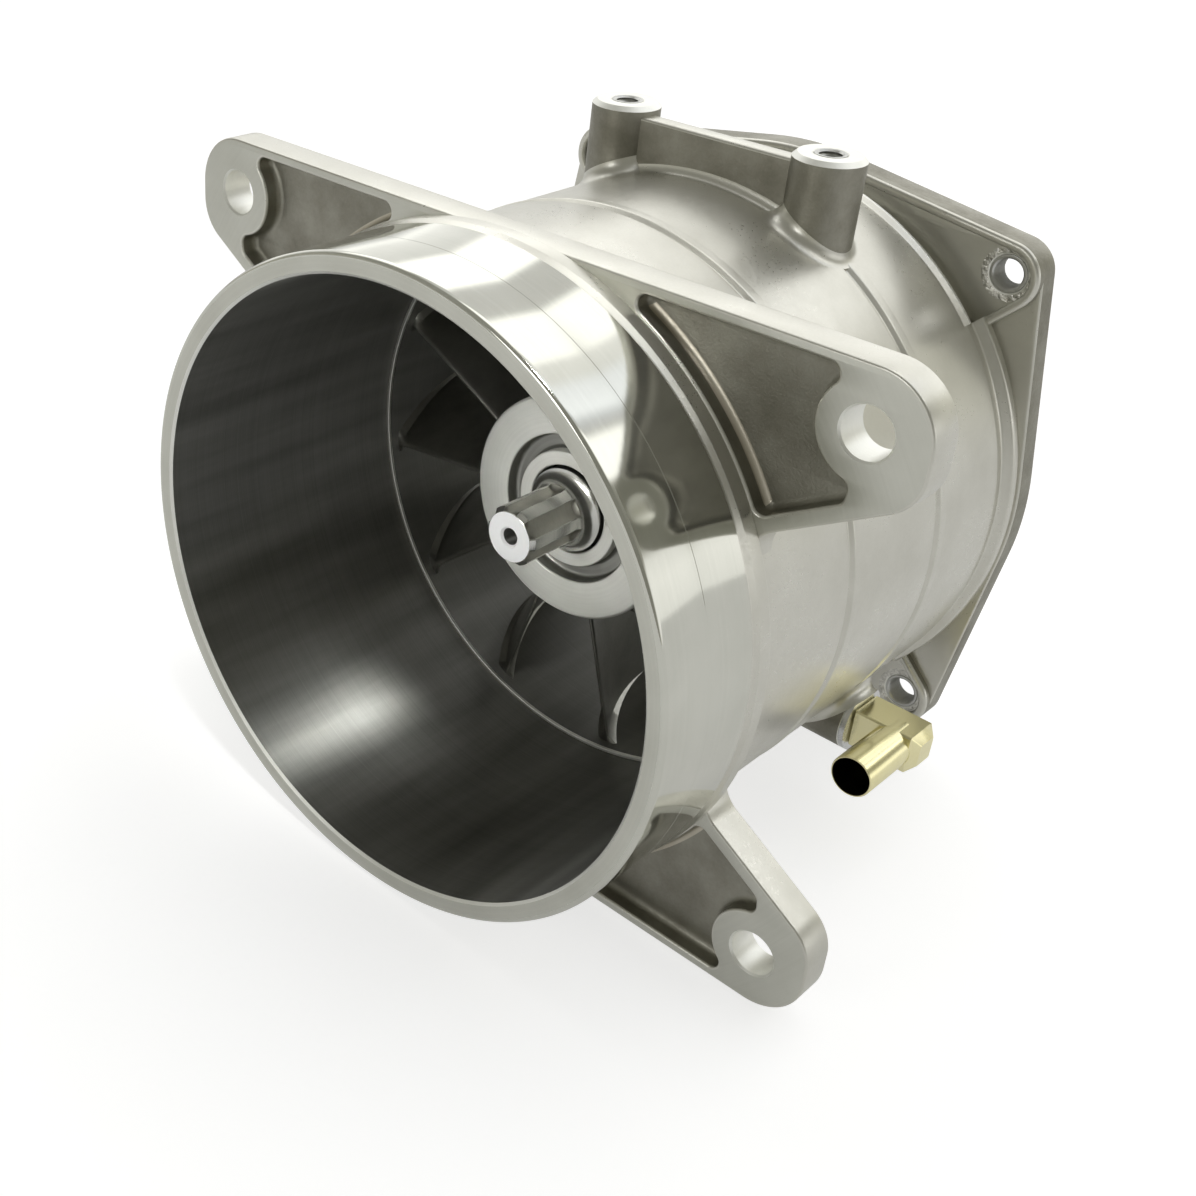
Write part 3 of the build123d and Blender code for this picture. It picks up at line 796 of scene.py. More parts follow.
def plate_outline():
    """Outline of the front plate: four ears with a sloping waist on each side."""
    side_x = ear_x + ear_r
    top_z = ear_z + ear_r
    inside_r = body_r - 0.15
    hidden = Round((0, 0), inside_r)
    waist = Straight((0, waist_z(0)), (side_x, waist_z(side_x)))
    side = Straight((side_x, 0), (side_x, top_z))
    top = Straight((side_x, top_z), (0, top_z))
    crook = corner(hidden, waist, (body_r + 2, waist_z(body_r) - waist_fillet), -waist_fillet)
    heel = corner(waist, side, (side_x - waist_round, waist_z(side_x) + waist_round), waist_round)
    shoulder = corner(side, top, (ear_x, ear_z), ear_r)
    right_half = [crook, heel, shoulder]
    upper = right_half + [arc.mirrored(x=-1) for arc in reversed(right_half)]
    lower = [arc.mirrored(z=-1) for arc in reversed(upper)]
    left = Arc((0, 0), inside_r, upper[-1].end(), lower[0].start)
    right = Arc((0, 0), inside_r, lower[-1].end(), crook.start)
    return outline(upper + [left] + lower + [right])


def pocket_outline():
    """Outline of the recess between the barrel and one ear."""
    r = pocket_round
    top_z = ear_z + ear_r - top_rim
    inner = Round((0, 0), -pocket_inner_r)
    pad = Round((ear_x, ear_z), -ear_pad_r)
    heel_z = waist_z(pocket_heel_x, waist_rim)
    waist = Straight((0, waist_z(0, waist_rim)), (pocket_heel_x, heel_z))
    heel = Straight((pocket_heel_x, heel_z), (ear_x, ear_z))
    top = Straight((ear_x, top_z), (0, top_z))
    tip_x = sqrt((pocket_inner_r + r) ** 2 - (top_z - r) ** 2)
    heel_corner = corner(waist, heel, (pocket_heel_x - r, heel_z + r), r)
    pad_low = corner(heel, pad, (ear_x - 4, ear_z - ear_pad_r - r), r)
    pad_high = corner(pad, top, (ear_x - ear_pad_r + 1, top_z - r), r)
    tip = corner(top, inner, (tip_x, top_z - r), r)
    foot = corner(inner, waist, (pocket_inner_r - 9, waist_z(pocket_inner_r, waist_rim)), r)
    pad_arc = Arc((ear_x, ear_z), -ear_pad_r, pad_low.end(), pad_high.start)
    inner_arc = Arc((0, 0), -pocket_inner_r, tip.end(), foot.start)
    return outline([heel_corner, pad_low, pad_arc, pad_high, tip, inner_arc, foot])


QUARTERS = ((1, 1), (-1, 1), (-1, -1), (1, -1))


def four_corners(x, z):
    """The places (x, z) in the four quarters."""
    return [(a * x, b * z) for a, b in QUARTERS]


def mounting_plate():
    """Front plate with its ears, pockets and bolt holes."""
    skin = Skin()
    levels = edge_round(0, edge_r) + edge_round(plate_back, edge_r, -1)[::-1]
    front, back = skin.wall(plate_outline(), levels, [CAST] * len(levels))
    fronts, backs = [front], [back]
    levels = [(-grow, y) for grow, y in edge_round(0, pocket_edge)]
    levels += [(-pocket_cove * (1 - cos(t)), pocket_depth - pocket_cove * (1 - sin(t))) for t in quarter(4)]
    for shape in [mirrored(pocket_outline(), *signs) for signs in QUARTERS]:
        beside = np.linalg.norm(shape[0], axis=1) < pocket_inner_r + 0.3
        # Beside the barrel the pocket's foot cove takes the lighter foot finish: a painted highlight.
        foot = [FOOT_HIGHLIGHT if near else RAW for near in beside]
        mouth, floor = skin.wall(shape, levels, [CAST] * 4 + [RAW] * 2 + [foot] * 3)
        skin.cap([floor], RAW)
        fronts.append(mouth)
    levels = [(hole_chamfer, 0), (0, hole_chamfer), (0, plate_back - hole_chamfer), (hole_chamfer, plate_back)]
    holes = [circle(place, ear_hole_r, hole_steps) for place in four_corners(ear_x, ear_z)]
    # The ear holes' walls take the bright lip finish: partly machined, partly a painted highlight.
    skin.drill(holes, levels, [LIP_HIGHLIGHT] * 3, fronts, backs)
    opening = circle((0, 0), body_r - barrel_sink, ring_steps)
    skin.drill([opening], [(0, 0), (0, plate_back)], [POLISHED], fronts, backs)
    skin.cap(fronts, FACE)
    skin.cap(backs, CAST)
    return skin.finished("mounting_plate", housing_finishes)


def rear_flange():
    """Rear flange plate with its bolt holes and the end of the duct."""
    skin = Skin()
    lean = acos((flange_r - lobe_r) / hypot(lobe_at, lobe_at))
    low, high = pi / 4 - lean, pi / 4 + lean
    arcs = []
    for turn in turns(4):
        arcs.append(Arc(rotated((lobe_at, lobe_at), turn), lobe_r, turn + low, turn + high))
        arcs.append(Arc((0, 0), flange_r, turn + high, turn + low + pi / 2))
    levels = edge_round(flange_front, edge_r) + edge_round(flange_back, edge_r, -1)[::-1]
    front, back = skin.wall(outline(arcs), levels, [CAST] * 3 + [RAW] * 3 + [CAST] * 3)
    fronts, backs = [front], [back]
    levels = [(spotface_r - flange_bolt_r, flange_front), (hole_edge, flange_front + spotface_sink),
              (0, flange_front + hole_edge), (0, flange_back - hole_edge), (hole_edge, flange_back)]
    holes = [circle(place, flange_bolt_r, hole_steps) for place in four_corners(lobe_at, lobe_at)]
    # Spotface, then chamfers in the bright lip finish (partly a painted highlight) and a wall in the dark bore
    # finish (painted shade).
    skin.drill(holes, levels, [CUT, LIP_HIGHLIGHT, BORE_SHADE, LIP_HIGHLIGHT], fronts, backs)
    levels = [(duct_r(flange_front), flange_front), (duct_exit_r, flange_back)]
    skin.drill([circle((0, 0), 0, ring_steps)], levels, [BORE_SHADE], fronts, backs)
    skin.cap(fronts, CAST)
    skin.cap(backs, FACE)
    return skin.finished("rear_flange", housing_finishes)


def rim_outline(lobe, disc, inner, rounding):
    """Outline round two lobes and down beside them to a radius on the body."""
    lean = acos((disc - lobe) / hypot(lobe_at, lobe_at))
    away = np.array((lobe_at, lobe_at)) + rotated((lobe, 0), -pi / 4)
    beside = Straight(away - lobe_at, away)
    near = rotated((inner + rounding, 0), pi / 4 - asin((lobe - rounding) / inner))
    foot = corner(Round((0, 0), -inner), beside, near, rounding)
    right = [foot, Arc((lobe_at, lobe_at), lobe, -pi / 4, pi / 4 + lean)]
    top = Arc((0, 0), disc, pi / 4 + lean, 3 * pi / 4 - lean)
    left = [arc.mirrored(x=-1) for arc in reversed(right)]
    floor = Arc((0, 0), -inner, left[-1].end(), foot.start)
    return outline(right + [top] + left + [floor])


def flange_rim(name, z):
    """Raised rim round the channel at the top or the bottom of the flange."""
    skin = Skin()
    foot_y = flange_front + edge_r
    faces = [CAST] * 4 + [RAW]
    outer = mirrored(rim_outline(lobe_r, flange_r, channel_r - rim_sink, rim_foot_round), 1, z)
    inside = rim_outline(lobe_r - rim_width, flange_r - rim_width, channel_r - 0.1, rim_inside_round)
    edge = edge_round(rim_front, rim_edge)
    outer_ends = skin.wall(outer, [(grow + sliver, y) for grow, y in edge] + [(sliver, foot_y)], faces)
    inner_ends = skin.wall(mirrored(inside, 1, z), [(-grow, y) for grow, y in edge] + [(0, foot_y)], faces)
    for loops in zip(outer_ends, inner_ends):
        skin.cap(loops, CAST)
    return skin.finished(name, housing_finishes)


def rolled_foot(turn, place, radius, foot):
    """Points of the fillet between a round boss and the body, at one turn about the boss."""
    across, y = place
    reach = body_r + foot
    x = across + (radius + foot) * cos(turn)
    centre = np.array((x, y + (radius + foot) * sin(turn), sqrt(reach ** 2 - x ** 2)))
    inward = np.array((-cos(turn), -sin(turn), 0))
    down = -np.array((centre[0], 0, centre[2])) / reach
    whole = acos(np.dot(inward, down))
    for step in range(foot_steps + 1):
        share = step / foot_steps
        direction = (inward * sin(share * whole) + down * sin((1 - share) * whole)) / sin(whole)
        yield centre + foot * direction


def pillar(name, along, place, radius, top, foot, chamfer, seat_r, seat_depth):
    """A round boss on the body, along X (0) or Z (2), with a rolled foot and a seat bored in its end."""
    skin = Skin()
    across, y = place
    inside_r = body_r - foot_sink

    def ring(points):
        return skin.line((h, b, a) if along == 0 else (a, b, h) for a, b, h in points)

    foots = list(zip(*(rolled_foot(turn, place, radius, foot) for turn in turns(post_steps))))
    shrink = np.array((inside_r / body_r, 1, inside_r / body_r))
    rings = [ring(point * shrink for point in foots[0])] + [ring(points) for points in foots]
    for r, h in ((radius, top - chamfer), (radius - chamfer, top), (seat_r + hole_edge, top),
                 (seat_r, top - hole_edge), (seat_r, top - seat_depth)):
        rings.append(ring((across + r * cos(t), y + r * sin(t), h) for t in turns(post_steps)))
    # Foot, post side, then chamfers and top in the bright lip finish (partly a painted highlight), then the
    # seat bore in the dark bore finish (painted shade).
    skin.bands(rings, [CAST] * (foot_steps + 1) + [RAW] + [LIP_HIGHLIGHT] * 3 + [BORE_SHADE])
    for loop, h in ((rings[0], sqrt(inside_r ** 2 - across ** 2)), (rings[-1], top - seat_depth)):
        skin.fan(loop, (h, y, across) if along == 0 else (across, y, h))
    return skin.finished(name, housing_finishes)


def post_web():
    """The web that joins the two posts, with a rolled foot on the body and softened top edges."""
    skin = Skin()
    reach = body_r + web_foot
    first = acos(post_x / reach)
    rings = []
    arc, crest = quarter(6), quarter(3)
    for column in range(web_steps + 1):
        turn = first + (pi - 2 * first) * column / web_steps
        top = web_top / sin(turn)
        points = [(body_r - foot_sink, web_front - web_foot)]
        points += [(reach - web_foot * cos(t), web_front - web_foot + web_foot * sin(t)) for t in arc]
        points += [(top - web_edge * (1 - sin(t)), web_front + web_edge * (1 - cos(t))) for t in crest]
        points += [(r, web_front + web_back - y) for r, y in reversed(points)]
        rings.append(skin.line((r * cos(turn), y, r * sin(turn)) for r, y in points))
    half = len(rings[0]) // 2
    faces = [RAW if j in (len(arc), half + len(crest) - 1) else CAST for j in range(2 * half)]
    skin.bands(rings, [faces] * len(rings))
    skin.lids(rings[0], rings[-1])
    return skin.finished("post_web", housing_finishes)


post_sizes = (post_r, post_top, post_foot, post_chamfer, post_bore_r, post_hole_depth)
housing = [
    housing_shell(),
    mounting_plate(),
    rear_flange(),
    flange_rim("top_rim", 1),
    flange_rim("bottom_rim", -1),
    pillar("right_post", 2, (post_x, post_y), *post_sizes),
    pillar("left_post", 2, (-post_x, post_y), *post_sizes),
    pillar("side_boss", 0, (boss_z, boss_y), boss_r, boss_face, boss_foot, 0.4, seat_gap_r, boss_seat_depth),
    post_web(),
]
for piece in housing:
    carried(piece, "housing", "cast_alloy", "pump_housing")


# Shaft
def flute_cut(turn, y):
    """Radius of the flutes' surface in the shaft's end at an angle and a place along it."""
    pitch = 2 * pi / spline_count
    off = (turn - radians(spline_phase) + pitch / 2) % pitch - pitch / 2
    centre = flute_floor + flute_r
    reach = flute_r ** 2 - (centre * sin(off)) ** 2
    if reach <= 0:
        return journal_r
    lift = max(0.0, y - flute_end) / flute_fade
    return centre * cos(off) - sqrt(reach) + 4 * lift ** 2


def shaft_profile():
    """Half section of the shaft from its centre hole to its threaded tail, as (radius, y, rounding, slot)."""
    shaft_back = stack_end + thread_length
    deep = shaft_tip + centre_hole_depth
    collar_front = front_bearing - collar_length
    steps, flare_steps = 40, 14
    spline_length = spline_end - shaft_tip - tip_chamfer
    spline = [(spline_r, shaft_tip + tip_chamfer + spline_length * i / steps, 0, 0) for i in range(steps + 1)]
    flare = [(spline_r + (journal_r - spline_r) * (1 - cos(t)), spline_end + flare_length * sin(t), 0, 0)
             for t in quarter(flare_steps)[1:]]
    return [
        # The centre hole takes the dark bore finish: painted shade.
        (0, deep + centre_hole_r, 0, 1),
        (centre_hole_r, deep, 0, 1),
        # The end face and the centre hole's chamfer take the white painted highlight.
        (centre_hole_r, shaft_tip + tip_chamfer / 2, 0, 2),
        (centre_hole_r + tip_chamfer / 2, shaft_tip, 0, 2),
        (spline_r - tip_chamfer, shaft_tip, 0.3, 0),
        *spline,
        *flare,
        (journal_r, collar_front, 0.3, 0),
        (collar_r, collar_front, 0.4, 0),
        (collar_r, front_bearing, 0.4, 0),
        (bearing_bore_r, front_bearing, 0.3, 0),
        (bearing_bore_r, stack_end, 0.3, 0),
        (thread_r, stack_end, 0, 0),
        (thread_r, shaft_back, 0.8, 0),
        (0, shaft_back, 0, 0),
    ]


def spline_shaft():
    """Impeller shaft with rounded flutes in its end, a flare, a collar and a threaded tail."""
    skin = Skin()
    count = 288
    points = softened(shaft_profile())
    rings = []
    for r, y, _ in points[1:-1]:
        cut = spline_r - 2 <= r and y < flute_end + 2 * flute_fade
        reaches = [min(r, flute_cut(t, y)) if cut else r for t in turns(count)]
        rings.append(skin.line((here * cos(t), y, here * sin(t)) for here, t in zip(reaches, turns(count))))
    middles = [2 * pi * (i + 0.5) / count for i in range(count)]
    flutes = [3 if flute_cut(t, shaft_tip) < spline_r - 0.2 else 0 for t in middles]
    fluted = [slot == 0 and shaft_tip < y < flute_end + flute_fade for _, y, slot in points[1:-1]]
    skin.bands(rings, [flutes if cut else slot for cut, (_, _, slot) in zip(fluted, points[1:-1])])
    for ring, (_, y, slot) in ((rings[0], points[0]), (rings[-1], points[-1])):
        skin.fan(ring, (0, y, 0), slot)
    return skin.finished("spline_shaft", [shaft_steel, bore_shade_alloy, shaft_end_highlight, flute_steel])


def carrier_face():
    """Seal carrier: the hub's round face with its ring groove, and the seal seat behind it."""
    seal_front = hub_face + face_groove_depth + carrier_wall
    seal_back = seal_front + seal_length
    return turned("carrier_face", [
        (shaft_opening_r, hub_face, 0.5, 0),
        (face_groove_inner, hub_face, 0.5, 0),
        # The groove's floor, its outer wall and the shaft opening take the darker groove finish: painted
        # shade.
        (face_groove_inner, hub_face + face_groove_depth, 1.2, 2),
        (face_groove_outer, hub_face + face_groove_depth, 1.2, 2),
        (face_groove_outer, hub_face, 0.5, 0),
        (hub_r, hub_face, hub_edge, 0),
        (hub_r, hub_face + carrier_flange, 0, 1),
        (carrier_body_r, hub_face + carrier_flange, 0, 1),
        (carrier_body_r, carrier_ring_y - ring_r, 0, 1),
        (carrier_body_r - 2 * ring_r, carrier_ring_y - ring_r, 0, 1),
        (carrier_body_r - 2 * ring_r, carrier_ring_y + ring_r, 0, 1),
        (carrier_body_r, carrier_ring_y + ring_r, 0, 1),
        (carrier_body_r, seal_back, 0.4, 1),
        (seal_r, seal_back, 0.4, 1),
        (seal_r, seal_front, 0, 1),
        (shaft_opening_r, seal_front, 0.3, 2),
    ], [hub_face_lit_alloy, face_alloy, groove_shade_alloy], 192)


# Stator
def shroud_r(y):
    """Radius of the water way inside the stator shroud."""
    share = (y - stator_front) / (stator_back - stator_front)
    return entry_r + (shroud_back_r - entry_r) * share


def shroud_ring():
    """Stator shroud: a thin tapered liner in the dark bore finish, which paints shade, with a rounded lip
    painted bright as a highlight.
    """
    return turned("shroud_ring", [
        (entry_r, stator_front + shroud_lip, 0, 1),
        (entry_r, stator_front, 0.35, 1),
        (bore_r - slip, stator_front, 0.15, 0),
        (bore_r - slip, stator_back, 0, 0),
        (shroud_back_r, stator_back, 0, 0),
    ], [bore_shade_alloy, lip_highlight_alloy])


def rounded_end(away):
    """Share of a vane's thickness at a distance from its front or rear end."""
    return sqrt(max(0.0, 1 - max(0.0, 1 - away / vane_nose) ** 2))


def foot_share(away):
    """Share of a vane foot's flare at a distance from the hub or the shroud."""
    return max(0, 1 - away / vane_foot) ** 2


def vane_section(radius, lead):
    """One closed section of a vane: out along one side and back along the other."""
    chords = 30
    length = vane_trail - lead
    flare = vane_foot * (foot_share(radius - hub_r) + foot_share(shroud_r(lead) - radius))
    sides = ([], [])
    for step in range(chords + 1):
        share = (1 - cos(pi * step / chords)) / 2
        y = lead + length * share
        left = max(0.0, 1 - (y - lead) / vane_turn_length)
        turn = radians(vane_turn * (1 - left ** 2))
        nose, tail = rounded_end(share * length), rounded_end((1 - share) * length)
        swell = vane_edge / 2 + (vane_thick - vane_edge) / 2 * sin(pi * share)
        half = swell * nose * tail + flare * nose * tail
        for side, sign in zip(sides, (1, -1)):
            spin = -turn + sign * half / radius
            side.append((radius * cos(spin), y, radius * sin(spin)))
    return sides[0] + sides[1][-2:0:-1]


def vane_blade():
    """One stator vane with a rounded nose and feet that flare into the hub and the shroud."""
    skin = Skin()
    spans = 20
    reach = entry_r + vane_tip_sunk - hub_r + vane_root_sunk
    rings = []
    for row in range(spans + 1):
        span = row / spans
        lead = vane_lead_hub + (vane_lead_tip - vane_lead_hub) * span
        rings.append(skin.line(vane_section(hub_r - vane_root_sunk + reach * span, lead)))
    skin.bands(rings)
    skin.lids(rings[0], rings[-1])
    return skin.finished("vane_blade", [dark_casting], 50)


def ring_tree():
    """Geometry Nodes that set copies of a piece evenly round the pump axis."""
    tree = bpy.data.node_groups.new("ring of copies", "GeometryNodeTree")
    group_socket(tree, "Geometry", "NodeSocketGeometry")
    sockets = {}
    for label, kind in (("Piece", "NodeSocketObject"), ("Count", "NodeSocketInt"),
                        ("First angle", FLOAT), ("Finish", "NodeSocketMaterial")):
        sockets[label] = group_socket(tree, label, kind).identifier
    group_socket(tree, "Geometry", "NodeSocketGeometry", "OUTPUT")
    given = tree.nodes.new("NodeGroupInput")
    out = tree.nodes.new("NodeGroupOutput")
    piece = node(tree, "GeometryNodeObjectInfo", links={"Object": given.outputs["Piece"]})
    places = node(tree, "GeometryNodePoints", links={"Count": given.outputs["Count"]})
    index = tree.nodes.new("GeometryNodeInputIndex")
    pitch = maths(tree, "DIVIDE", 2 * pi, given.outputs["Count"])
    angle = maths(tree, "MULTIPLY_ADD", index.outputs[0], pitch, given.outputs["First angle"])
    turn = node(tree, "ShaderNodeCombineXYZ", links={1: maths(tree, "MULTIPLY", angle, -1.0)})
    ring = node(tree, "GeometryNodeInstanceOnPoints", links={
        "Points": places.outputs[0], "Instance": piece.outputs["Geometry"], "Rotation": turn.outputs[0]})
    real = node(tree, "GeometryNodeRealizeInstances", links={0: ring.outputs[0]})
    finished = node(tree, "GeometryNodeSetMaterial", links={
        "Geometry": real.outputs[0], "Material": given.outputs["Finish"]})
    fill(out, {0: finished.outputs[0]})
    return tree, sockets


def made_mesh(name, tree, values):
    """A plain mesh piece from a Geometry Nodes tree and its inputs."""
    holder = placed(name + "_maker", bpy.data.meshes.new(name + "_maker"))
    maker = holder.modifiers.new("maker", "NODES")
    maker.node_group = tree
    for key, value in values.items():
        maker[key] = value
    shown = holder.evaluated_get(bpy.context.evaluated_depsgraph_get())
    data = bpy.data.meshes.new_from_object(shown)
    holder.modifiers.remove(maker)
    bpy.data.objects.remove(holder)
    return placed(name, data)


copies_tree, copies_sockets = ring_tree()


def ring_of(name, piece, count, finish, first=0.0):
    """Copies of a piece set evenly round the pump axis, as one mesh. The piece itself is used up."""
    ring = made_mesh(name, copies_tree, {
        copies_sockets["Piece"]: piece, copies_sockets["Count"]: count,
        copies_sockets["First angle"]: first, copies_sockets["Finish"]: finish})
    bpy.data.objects.remove(piece)
    return ring


# Fittings
def moved(piece, matrix):
    """A piece with its mesh turned and moved by a matrix in metres."""
    piece.data.transform(matrix)
    return piece


def thread_sleeve(name, bore, outer, length, finishes):
    """A thread insert standing on the origin along -Y, with thread ridges in its bore."""
    points = [(bore, 0.4, 0, 0)]
    for turn in range(int((length - 1) / thread_pitch)):
        y = 0.5 + turn * thread_pitch
        points += [(bore + thread_depth, y + thread_pitch / 2, 0, 0), (bore, y + thread_pitch, 0, 0)]
    points += [(bore + 0.3, length, 0, 0), (outer, length, 0.2, 0), (outer, 0, 0.2, 0), (bore + 0.5, 0, 0, 0)]
    return turned(name, points, finishes, 64, 20)


def flange_sleeves():
    """Threaded inserts in the flange's four bolt holes."""
    sleeve = thread_sleeve("flange_sleeve", flange_bore_r, flange_insert_r, flange_back - flange_front, [])
    moved(sleeve, Matrix.Translation((lobe_at * MM, (flange_front + 0.1) * MM, lobe_at * MM)))
    return ring_of("flange_sleeves", sleeve, 4, insert_steel)


def post_sleeve(name, x):
    """Threaded insert in the top of one post."""
    sleeve = thread_sleeve(name, post_bore, post_insert_r, post_hole_depth, [insert_steel])
    upright = Matrix.Rotation(radians(-90), 4, "X")
    return moved(sleeve, Matrix.Translation((x * MM, post_y * MM, (post_top + 0.05) * MM)) @ upright)


def elbow_block(skin):
    """The elbow's square block, chamfered at its outer end, and its spigot in the boss."""
    seat = boss_face + washer_thick
    end = seat + elbow_reach
    half = elbow_size / 2
    steps = [(seat, half - elbow_edge), (seat + elbow_edge, half), (end - elbow_chamfer, half),
             (end, half - elbow_chamfer)]
    rings = []
    for x, h in steps:
        b = h - elbow_edge
        square = [(h, b), (b, h), (-b, h), (-h, b), (-h, -b), (-b, -h), (b, -h), (h, -b)]
        rings.append(skin.line((x, boss_y + a, boss_z + c) for a, c in square))
    skin.bands(rings)
    skin.lids(rings[0], rings[-1])
    round_end = [(boss_y + spigot_r * cos(t), boss_z + spigot_r * sin(t)) for t in turns(hole_steps)]
    spigot = [skin.line((x, y, z) for y, z in round_end) for x in (boss_face - spigot_length, seat + 0.5)]
    skin.bands(spigot)
    skin.lids(*spigot)


def elbow_fitting():
    """Brass hose elbow: a chamfered block on the boss and a thin-walled tube towards the mouth."""
    skin = Skin()
    elbow_block(skin)
    inner = tube_r - tube_wall
    # The tube's inside and its closed bottom take the near-black finish: painted shade.
    levels = [(inner, tube_bottom, 1), (inner, tube_end + 0.2, 1), (inner + 0.15, tube_end, 0),
              (tube_r - 0.25, tube_end, 0), (tube_r, tube_end + 0.4, 0), (tube_r, boss_y, 0)]
    rings = [skin.ring(circle((tube_x, boss_z), r), 0, y) for r, y, _ in levels]
    skin.bands(rings, [slot for _, _, slot in levels])
    skin.mesh.faces.new(rings[0]).material_index = 1
    skin.lids(rings[-1])
    return skin.finished("elbow_fitting", [elbow_brass, tube_shade])


carried(spline_shaft(), "shaft", "shaft_steel", "impeller_shaft")
carried(carrier_face(), "housing", "machined_alloy", "seal_carrier")
carried(shroud_ring(), "housing", "machined_alloy", "stator_shroud")
vanes = ring_of("vane_ring", vane_blade(), vane_count, dark_casting, radians(vane_phase))
carried(vanes, "housing", "dark_casting", "stator_vanes")
carried(flange_sleeves(), "housing", "insert_steel", "flange_inserts")
for name, x in (("right_post_sleeve", post_x), ("left_post_sleeve", -post_x)):
    carried(post_sleeve(name, x), "housing", "insert_steel", "post_inserts")
carried(elbow_fitting(), "housing", "elbow_brass", "brass_elbow")


# Studio. A strip is an angle about the pump axis in degrees, a brightness and a tint, or plain without
# one. Zones follow each other along the axis: a pair is the direction's Y at which one fades to the next.
WORLD_STRENGTH = 2.0
AHEAD_FROM_TO = (-0.25, 0.15)
FAR_FROM_TO = (0.742, 0.752)
BEHIND_FROM_TO = (0.780, 0.794)
FLOOR_GLOW = 0.68
FLOOR_SHINE = 0.30
PLAIN, WARM, COOL = (1.0, 1.0, 0.98), (1.0, 0.99, 0.86), (0.97, 1.0, 1.05)
STRIPS = (
    (-180, 0.45), (-110, 0.50), (-78, 0.70), (-68, 0.95), (-58, 0.95), (-42, 0.78, WARM), (-10, 0.70, WARM),
    (-4, 1.08), (10, 1.22), (17, 1.10), (21, 0.38, WARM), (32, 0.28, WARM), (43, 0.34, WARM), (45, 1.7),
    (58, 1.7), (60, 0.70), (64, 0.80, COOL), (67, 1.40, COOL), (76, 1.25, COOL), (80, 1.05), (86, 1.10),
    (88, 1.7), (107, 1.7), (109, 0.70), (125, 0.68), (127, 1.8), (147, 1.8), (150, 0.85), (166, 1.10),
    (171, 1.40), (176, 0.70),
)
FAR_STRIPS = (
    (-180, 0.40), (-78, 0.60), (-58, 0.70), (-42, 0.62, WARM), (-10, 0.60, WARM), (-4, 1.00), (10, 1.10),
    (15, 0.60, WARM), (19, 0.28, WARM), (30, 0.18, WARM), (45, 0.20, WARM), (57, 0.28, WARM), (61, 0.45),
    (66, 1.25, COOL), (76, 1.15, COOL), (80, 0.85), (86, 0.90), (88, 0.34, WARM), (107, 0.36, WARM),
    (125, 0.50, WARM), (127, 1.8), (147, 1.8), (150, 0.50), (166, 0.60), (172, 0.40),
)
BACK_STRIPS = (
    (-180, 0.75), (-90, 0.85), (-62, 0.76), (-37, 0.62, WARM), (0, 0.58, WARM), (25, 0.74, WARM),
    (38, 0.95, WARM), (50, 1.45), (76, 1.60), (90, 1.35), (104, 1.30), (118, 1.50), (145, 1.50),
    (165, 1.10), (179, 0.80),
)
FRONT_STRIPS = (
    (-180, 0.50, WARM), (-160, 0.80), (-115, 0.80), (-70, 0.60, WARM), (-20, 0.35, WARM), (10, 0.24, WARM),
    (150, 0.24, WARM), (175, 0.40, WARM),
)


def strip_lights(tree, turn, strips, name):
    """Colours of the studio round the pump axis."""
    ramp = node(tree, "ShaderNodeValToRGB", {"name": name}, {"Fac": turn}).color_ramp
    for i, (angle, bright, *tint) in enumerate(strips):
        place = (angle + 180) / 360
        stop = ramp.elements[i] if i < 2 else ramp.elements.new(place)
        stop.position = place
        stop.color = (*(bright / WORLD_STRENGTH * part for part in (tint or [PLAIN])[0]), 1)
    return tree.nodes[name].outputs["Color"]


def seen_by(tree, *rays):
    """A value of 1 for the named kinds of ray."""
    path = tree.nodes.new("ShaderNodeLightPath").outputs
    return maths(tree, "MAXIMUM", path[rays[0]], path[rays[-1]])


def studio_world():
    """A white room, with long soft strip lights beside the pump axis for the metal."""
    world = bpy.data.worlds.new("studio")
    world.use_nodes = True
    bpy.context.scene.world = world
    tree = world.node_tree
    way = node(tree, "ShaderNodeSeparateXYZ", links={
        0: tree.nodes.new("ShaderNodeTexCoord").outputs["Generated"]})
    angle = maths(tree, "ARCTAN2", way.outputs["Z"], way.outputs["X"])
    turn = remap(tree, angle, -pi, pi)
    beside = strip_lights(tree, turn, STRIPS, "strips beside the barrel")
    further = strip_lights(tree, turn, FAR_STRIPS, "strips towards the flange")
    behind = strip_lights(tree, turn, BACK_STRIPS, "room behind the flange")
    ahead = strip_lights(tree, turn, FRONT_STRIPS, "room ahead of the mouth")
    room = mixed(tree, remap(tree, way.outputs["Y"], *FAR_FROM_TO), beside, further)
    room = mixed(tree, remap(tree, way.outputs["Y"], *BEHIND_FROM_TO), room, behind)
    room = mixed(tree, remap(tree, way.outputs["Y"], *AHEAD_FROM_TO), ahead, room)
    plain = (1 / WORLD_STRENGTH,) * 3 + (1,)
    shown = mixed(tree, seen_by(tree, "Is Camera Ray", "Is Transmission Ray"), room, plain)
    fill(tree.nodes["Background"], {"Color": shown, "Strength": WORLD_STRENGTH})


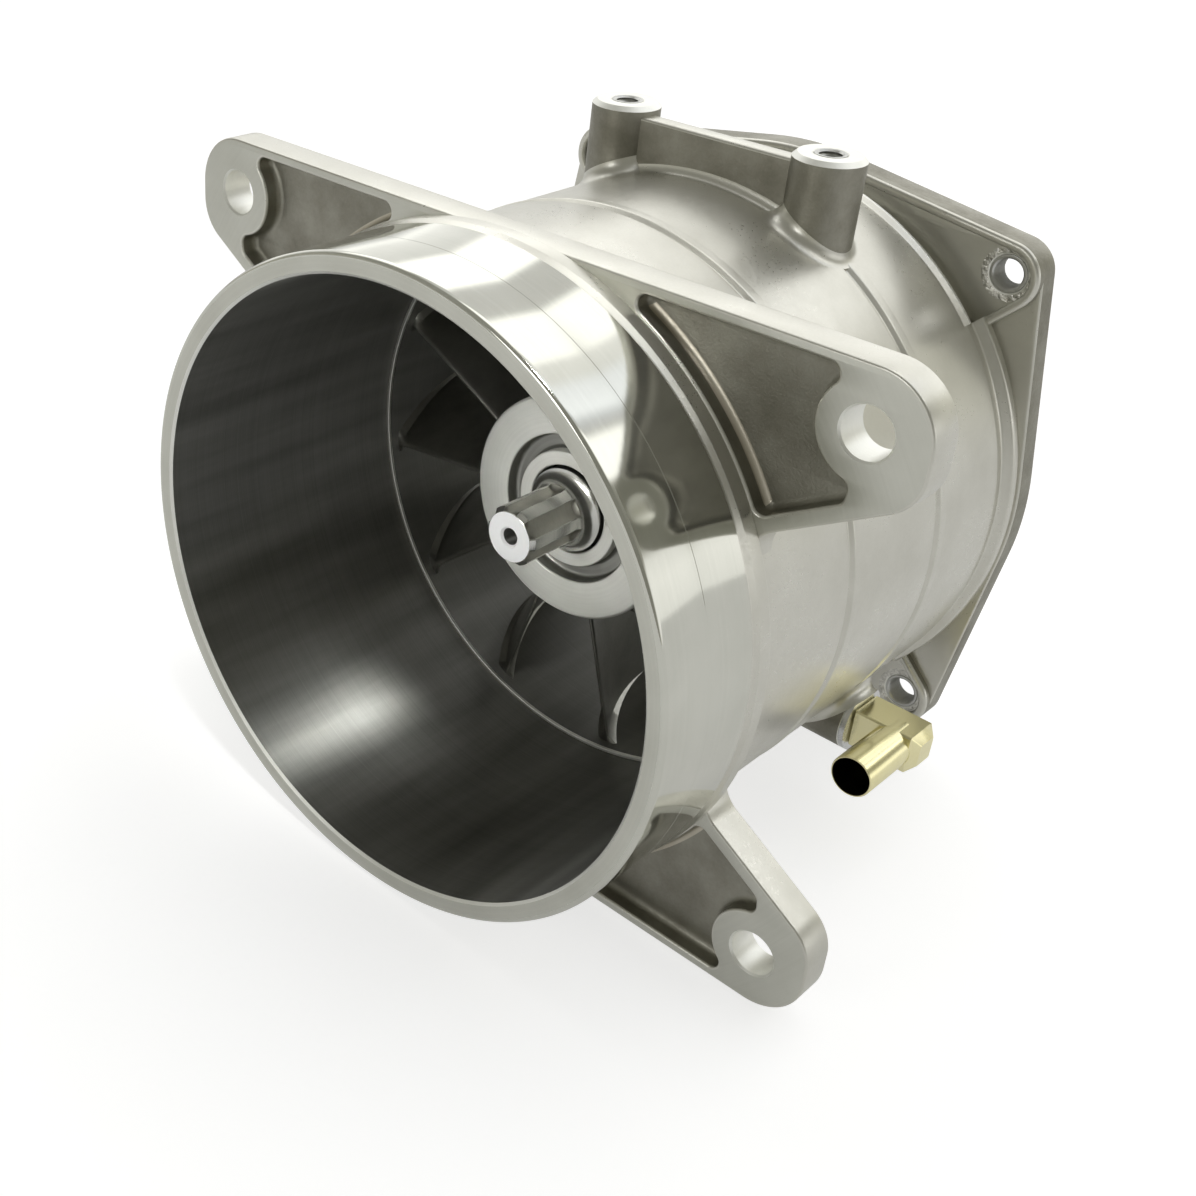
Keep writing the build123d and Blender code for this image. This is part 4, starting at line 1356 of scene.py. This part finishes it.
def studio_floor():
    """A pale floor under the object that shows its soft shadow."""
    skin = Skin()
    reach = 3000.0
    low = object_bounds()[0].z / MM
    corners = [(-reach, -reach), (reach, -reach), (reach, reach), (-reach, reach)]
    skin.lids(skin.line((x, y, low) for x, y in corners))
    floor = skin.finished("studio_floor", [])
    paint = bpy.data.materials.new("pale floor")
    paint.use_nodes = True
    tree = paint.node_tree
    shine = maths(tree, "MULTIPLY", seen_by(tree, "Is Glossy Ray"), FLOOR_SHINE)
    seen = seen_by(tree, "Is Camera Ray", "Is Transmission Ray")
    glow = maths(tree, "MULTIPLY_ADD", seen, FLOOR_GLOW, shine)
    fill(tree.nodes["Principled BSDF"], {
        "Base Color": (0.5, 0.5, 0.5, 1), "Roughness": 0.9, "Specular IOR Level": 0.1,
        "Emission Color": (1, 1, 1, 1), "Emission Strength": glow})
    floor.data.materials.append(paint)
    floor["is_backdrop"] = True


def lamp(name, place, aim, size, power, spread):
    """A soft square lamp in metres and watts, aimed at a place, with its beam's spread in degrees."""
    data = bpy.data.lights.new(name, "AREA")
    data.size = size
    data.energy = power
    data.spread = radians(spread)
    made = placed(name, data)
    made.location = place
    made.rotation_euler = (Vector(aim) - Vector(place)).to_track_quat("-Z", "Y").to_euler()


studio_world()
studio_floor()
lamp("bore lamp", (0.10, -0.14, 0.45), (-0.045, 0.02, -0.07), 0.08, 0.026, 12)
lamp("front lamp", (-0.10, -0.80, 0.25), (0, 0, 0), 0.3, 0.2, 90)
lamp("hub lamp", (-0.06, -0.50, 0.12), (0, 0.09, -0.01), 0.06, 0.0075, 12)


# Camera
CAMERA_PLACE = (0.22662, -0.27114, 0.20473)
CAMERA_AZIMUTH, CAMERA_HEIGHT, CAMERA_ROLL = radians(44.36), radians(30.14), radians(2.71)
FRAME_WIDTH = 1196
FOCAL_LENGTH = 1563.53
CENTRE_X, CENTRE_Y = 374.35, 545.75


def photograph_camera():
    """The camera of the photograph, from its place, its turns and its optical centre in the frame."""
    back = Vector((sin(CAMERA_AZIMUTH) * cos(CAMERA_HEIGHT),
                   -cos(CAMERA_AZIMUTH) * cos(CAMERA_HEIGHT), sin(CAMERA_HEIGHT)))
    level = Vector((cos(CAMERA_AZIMUTH), sin(CAMERA_AZIMUTH), 0))
    up = back.cross(level)
    right = level * cos(CAMERA_ROLL) + up * sin(CAMERA_ROLL)
    top = up * cos(CAMERA_ROLL) - level * sin(CAMERA_ROLL)
    data = bpy.data.cameras.new("photograph camera")
    data.sensor_width = 36.0
    data.lens = FOCAL_LENGTH / FRAME_WIDTH * data.sensor_width
    data.shift_x = (FRAME_WIDTH / 2 - CENTRE_X) / FRAME_WIDTH
    data.shift_y = (CENTRE_Y - FRAME_WIDTH / 2) / FRAME_WIDTH
    camera = placed("photograph camera", data)
    turn = Matrix((right, top, back)).transposed().to_4x4()
    camera.matrix_world = Matrix.Translation(CAMERA_PLACE) @ turn
    bpy.context.scene.camera = camera


photograph_camera()

bpy.context.scene.view_settings.view_transform = "Standard"
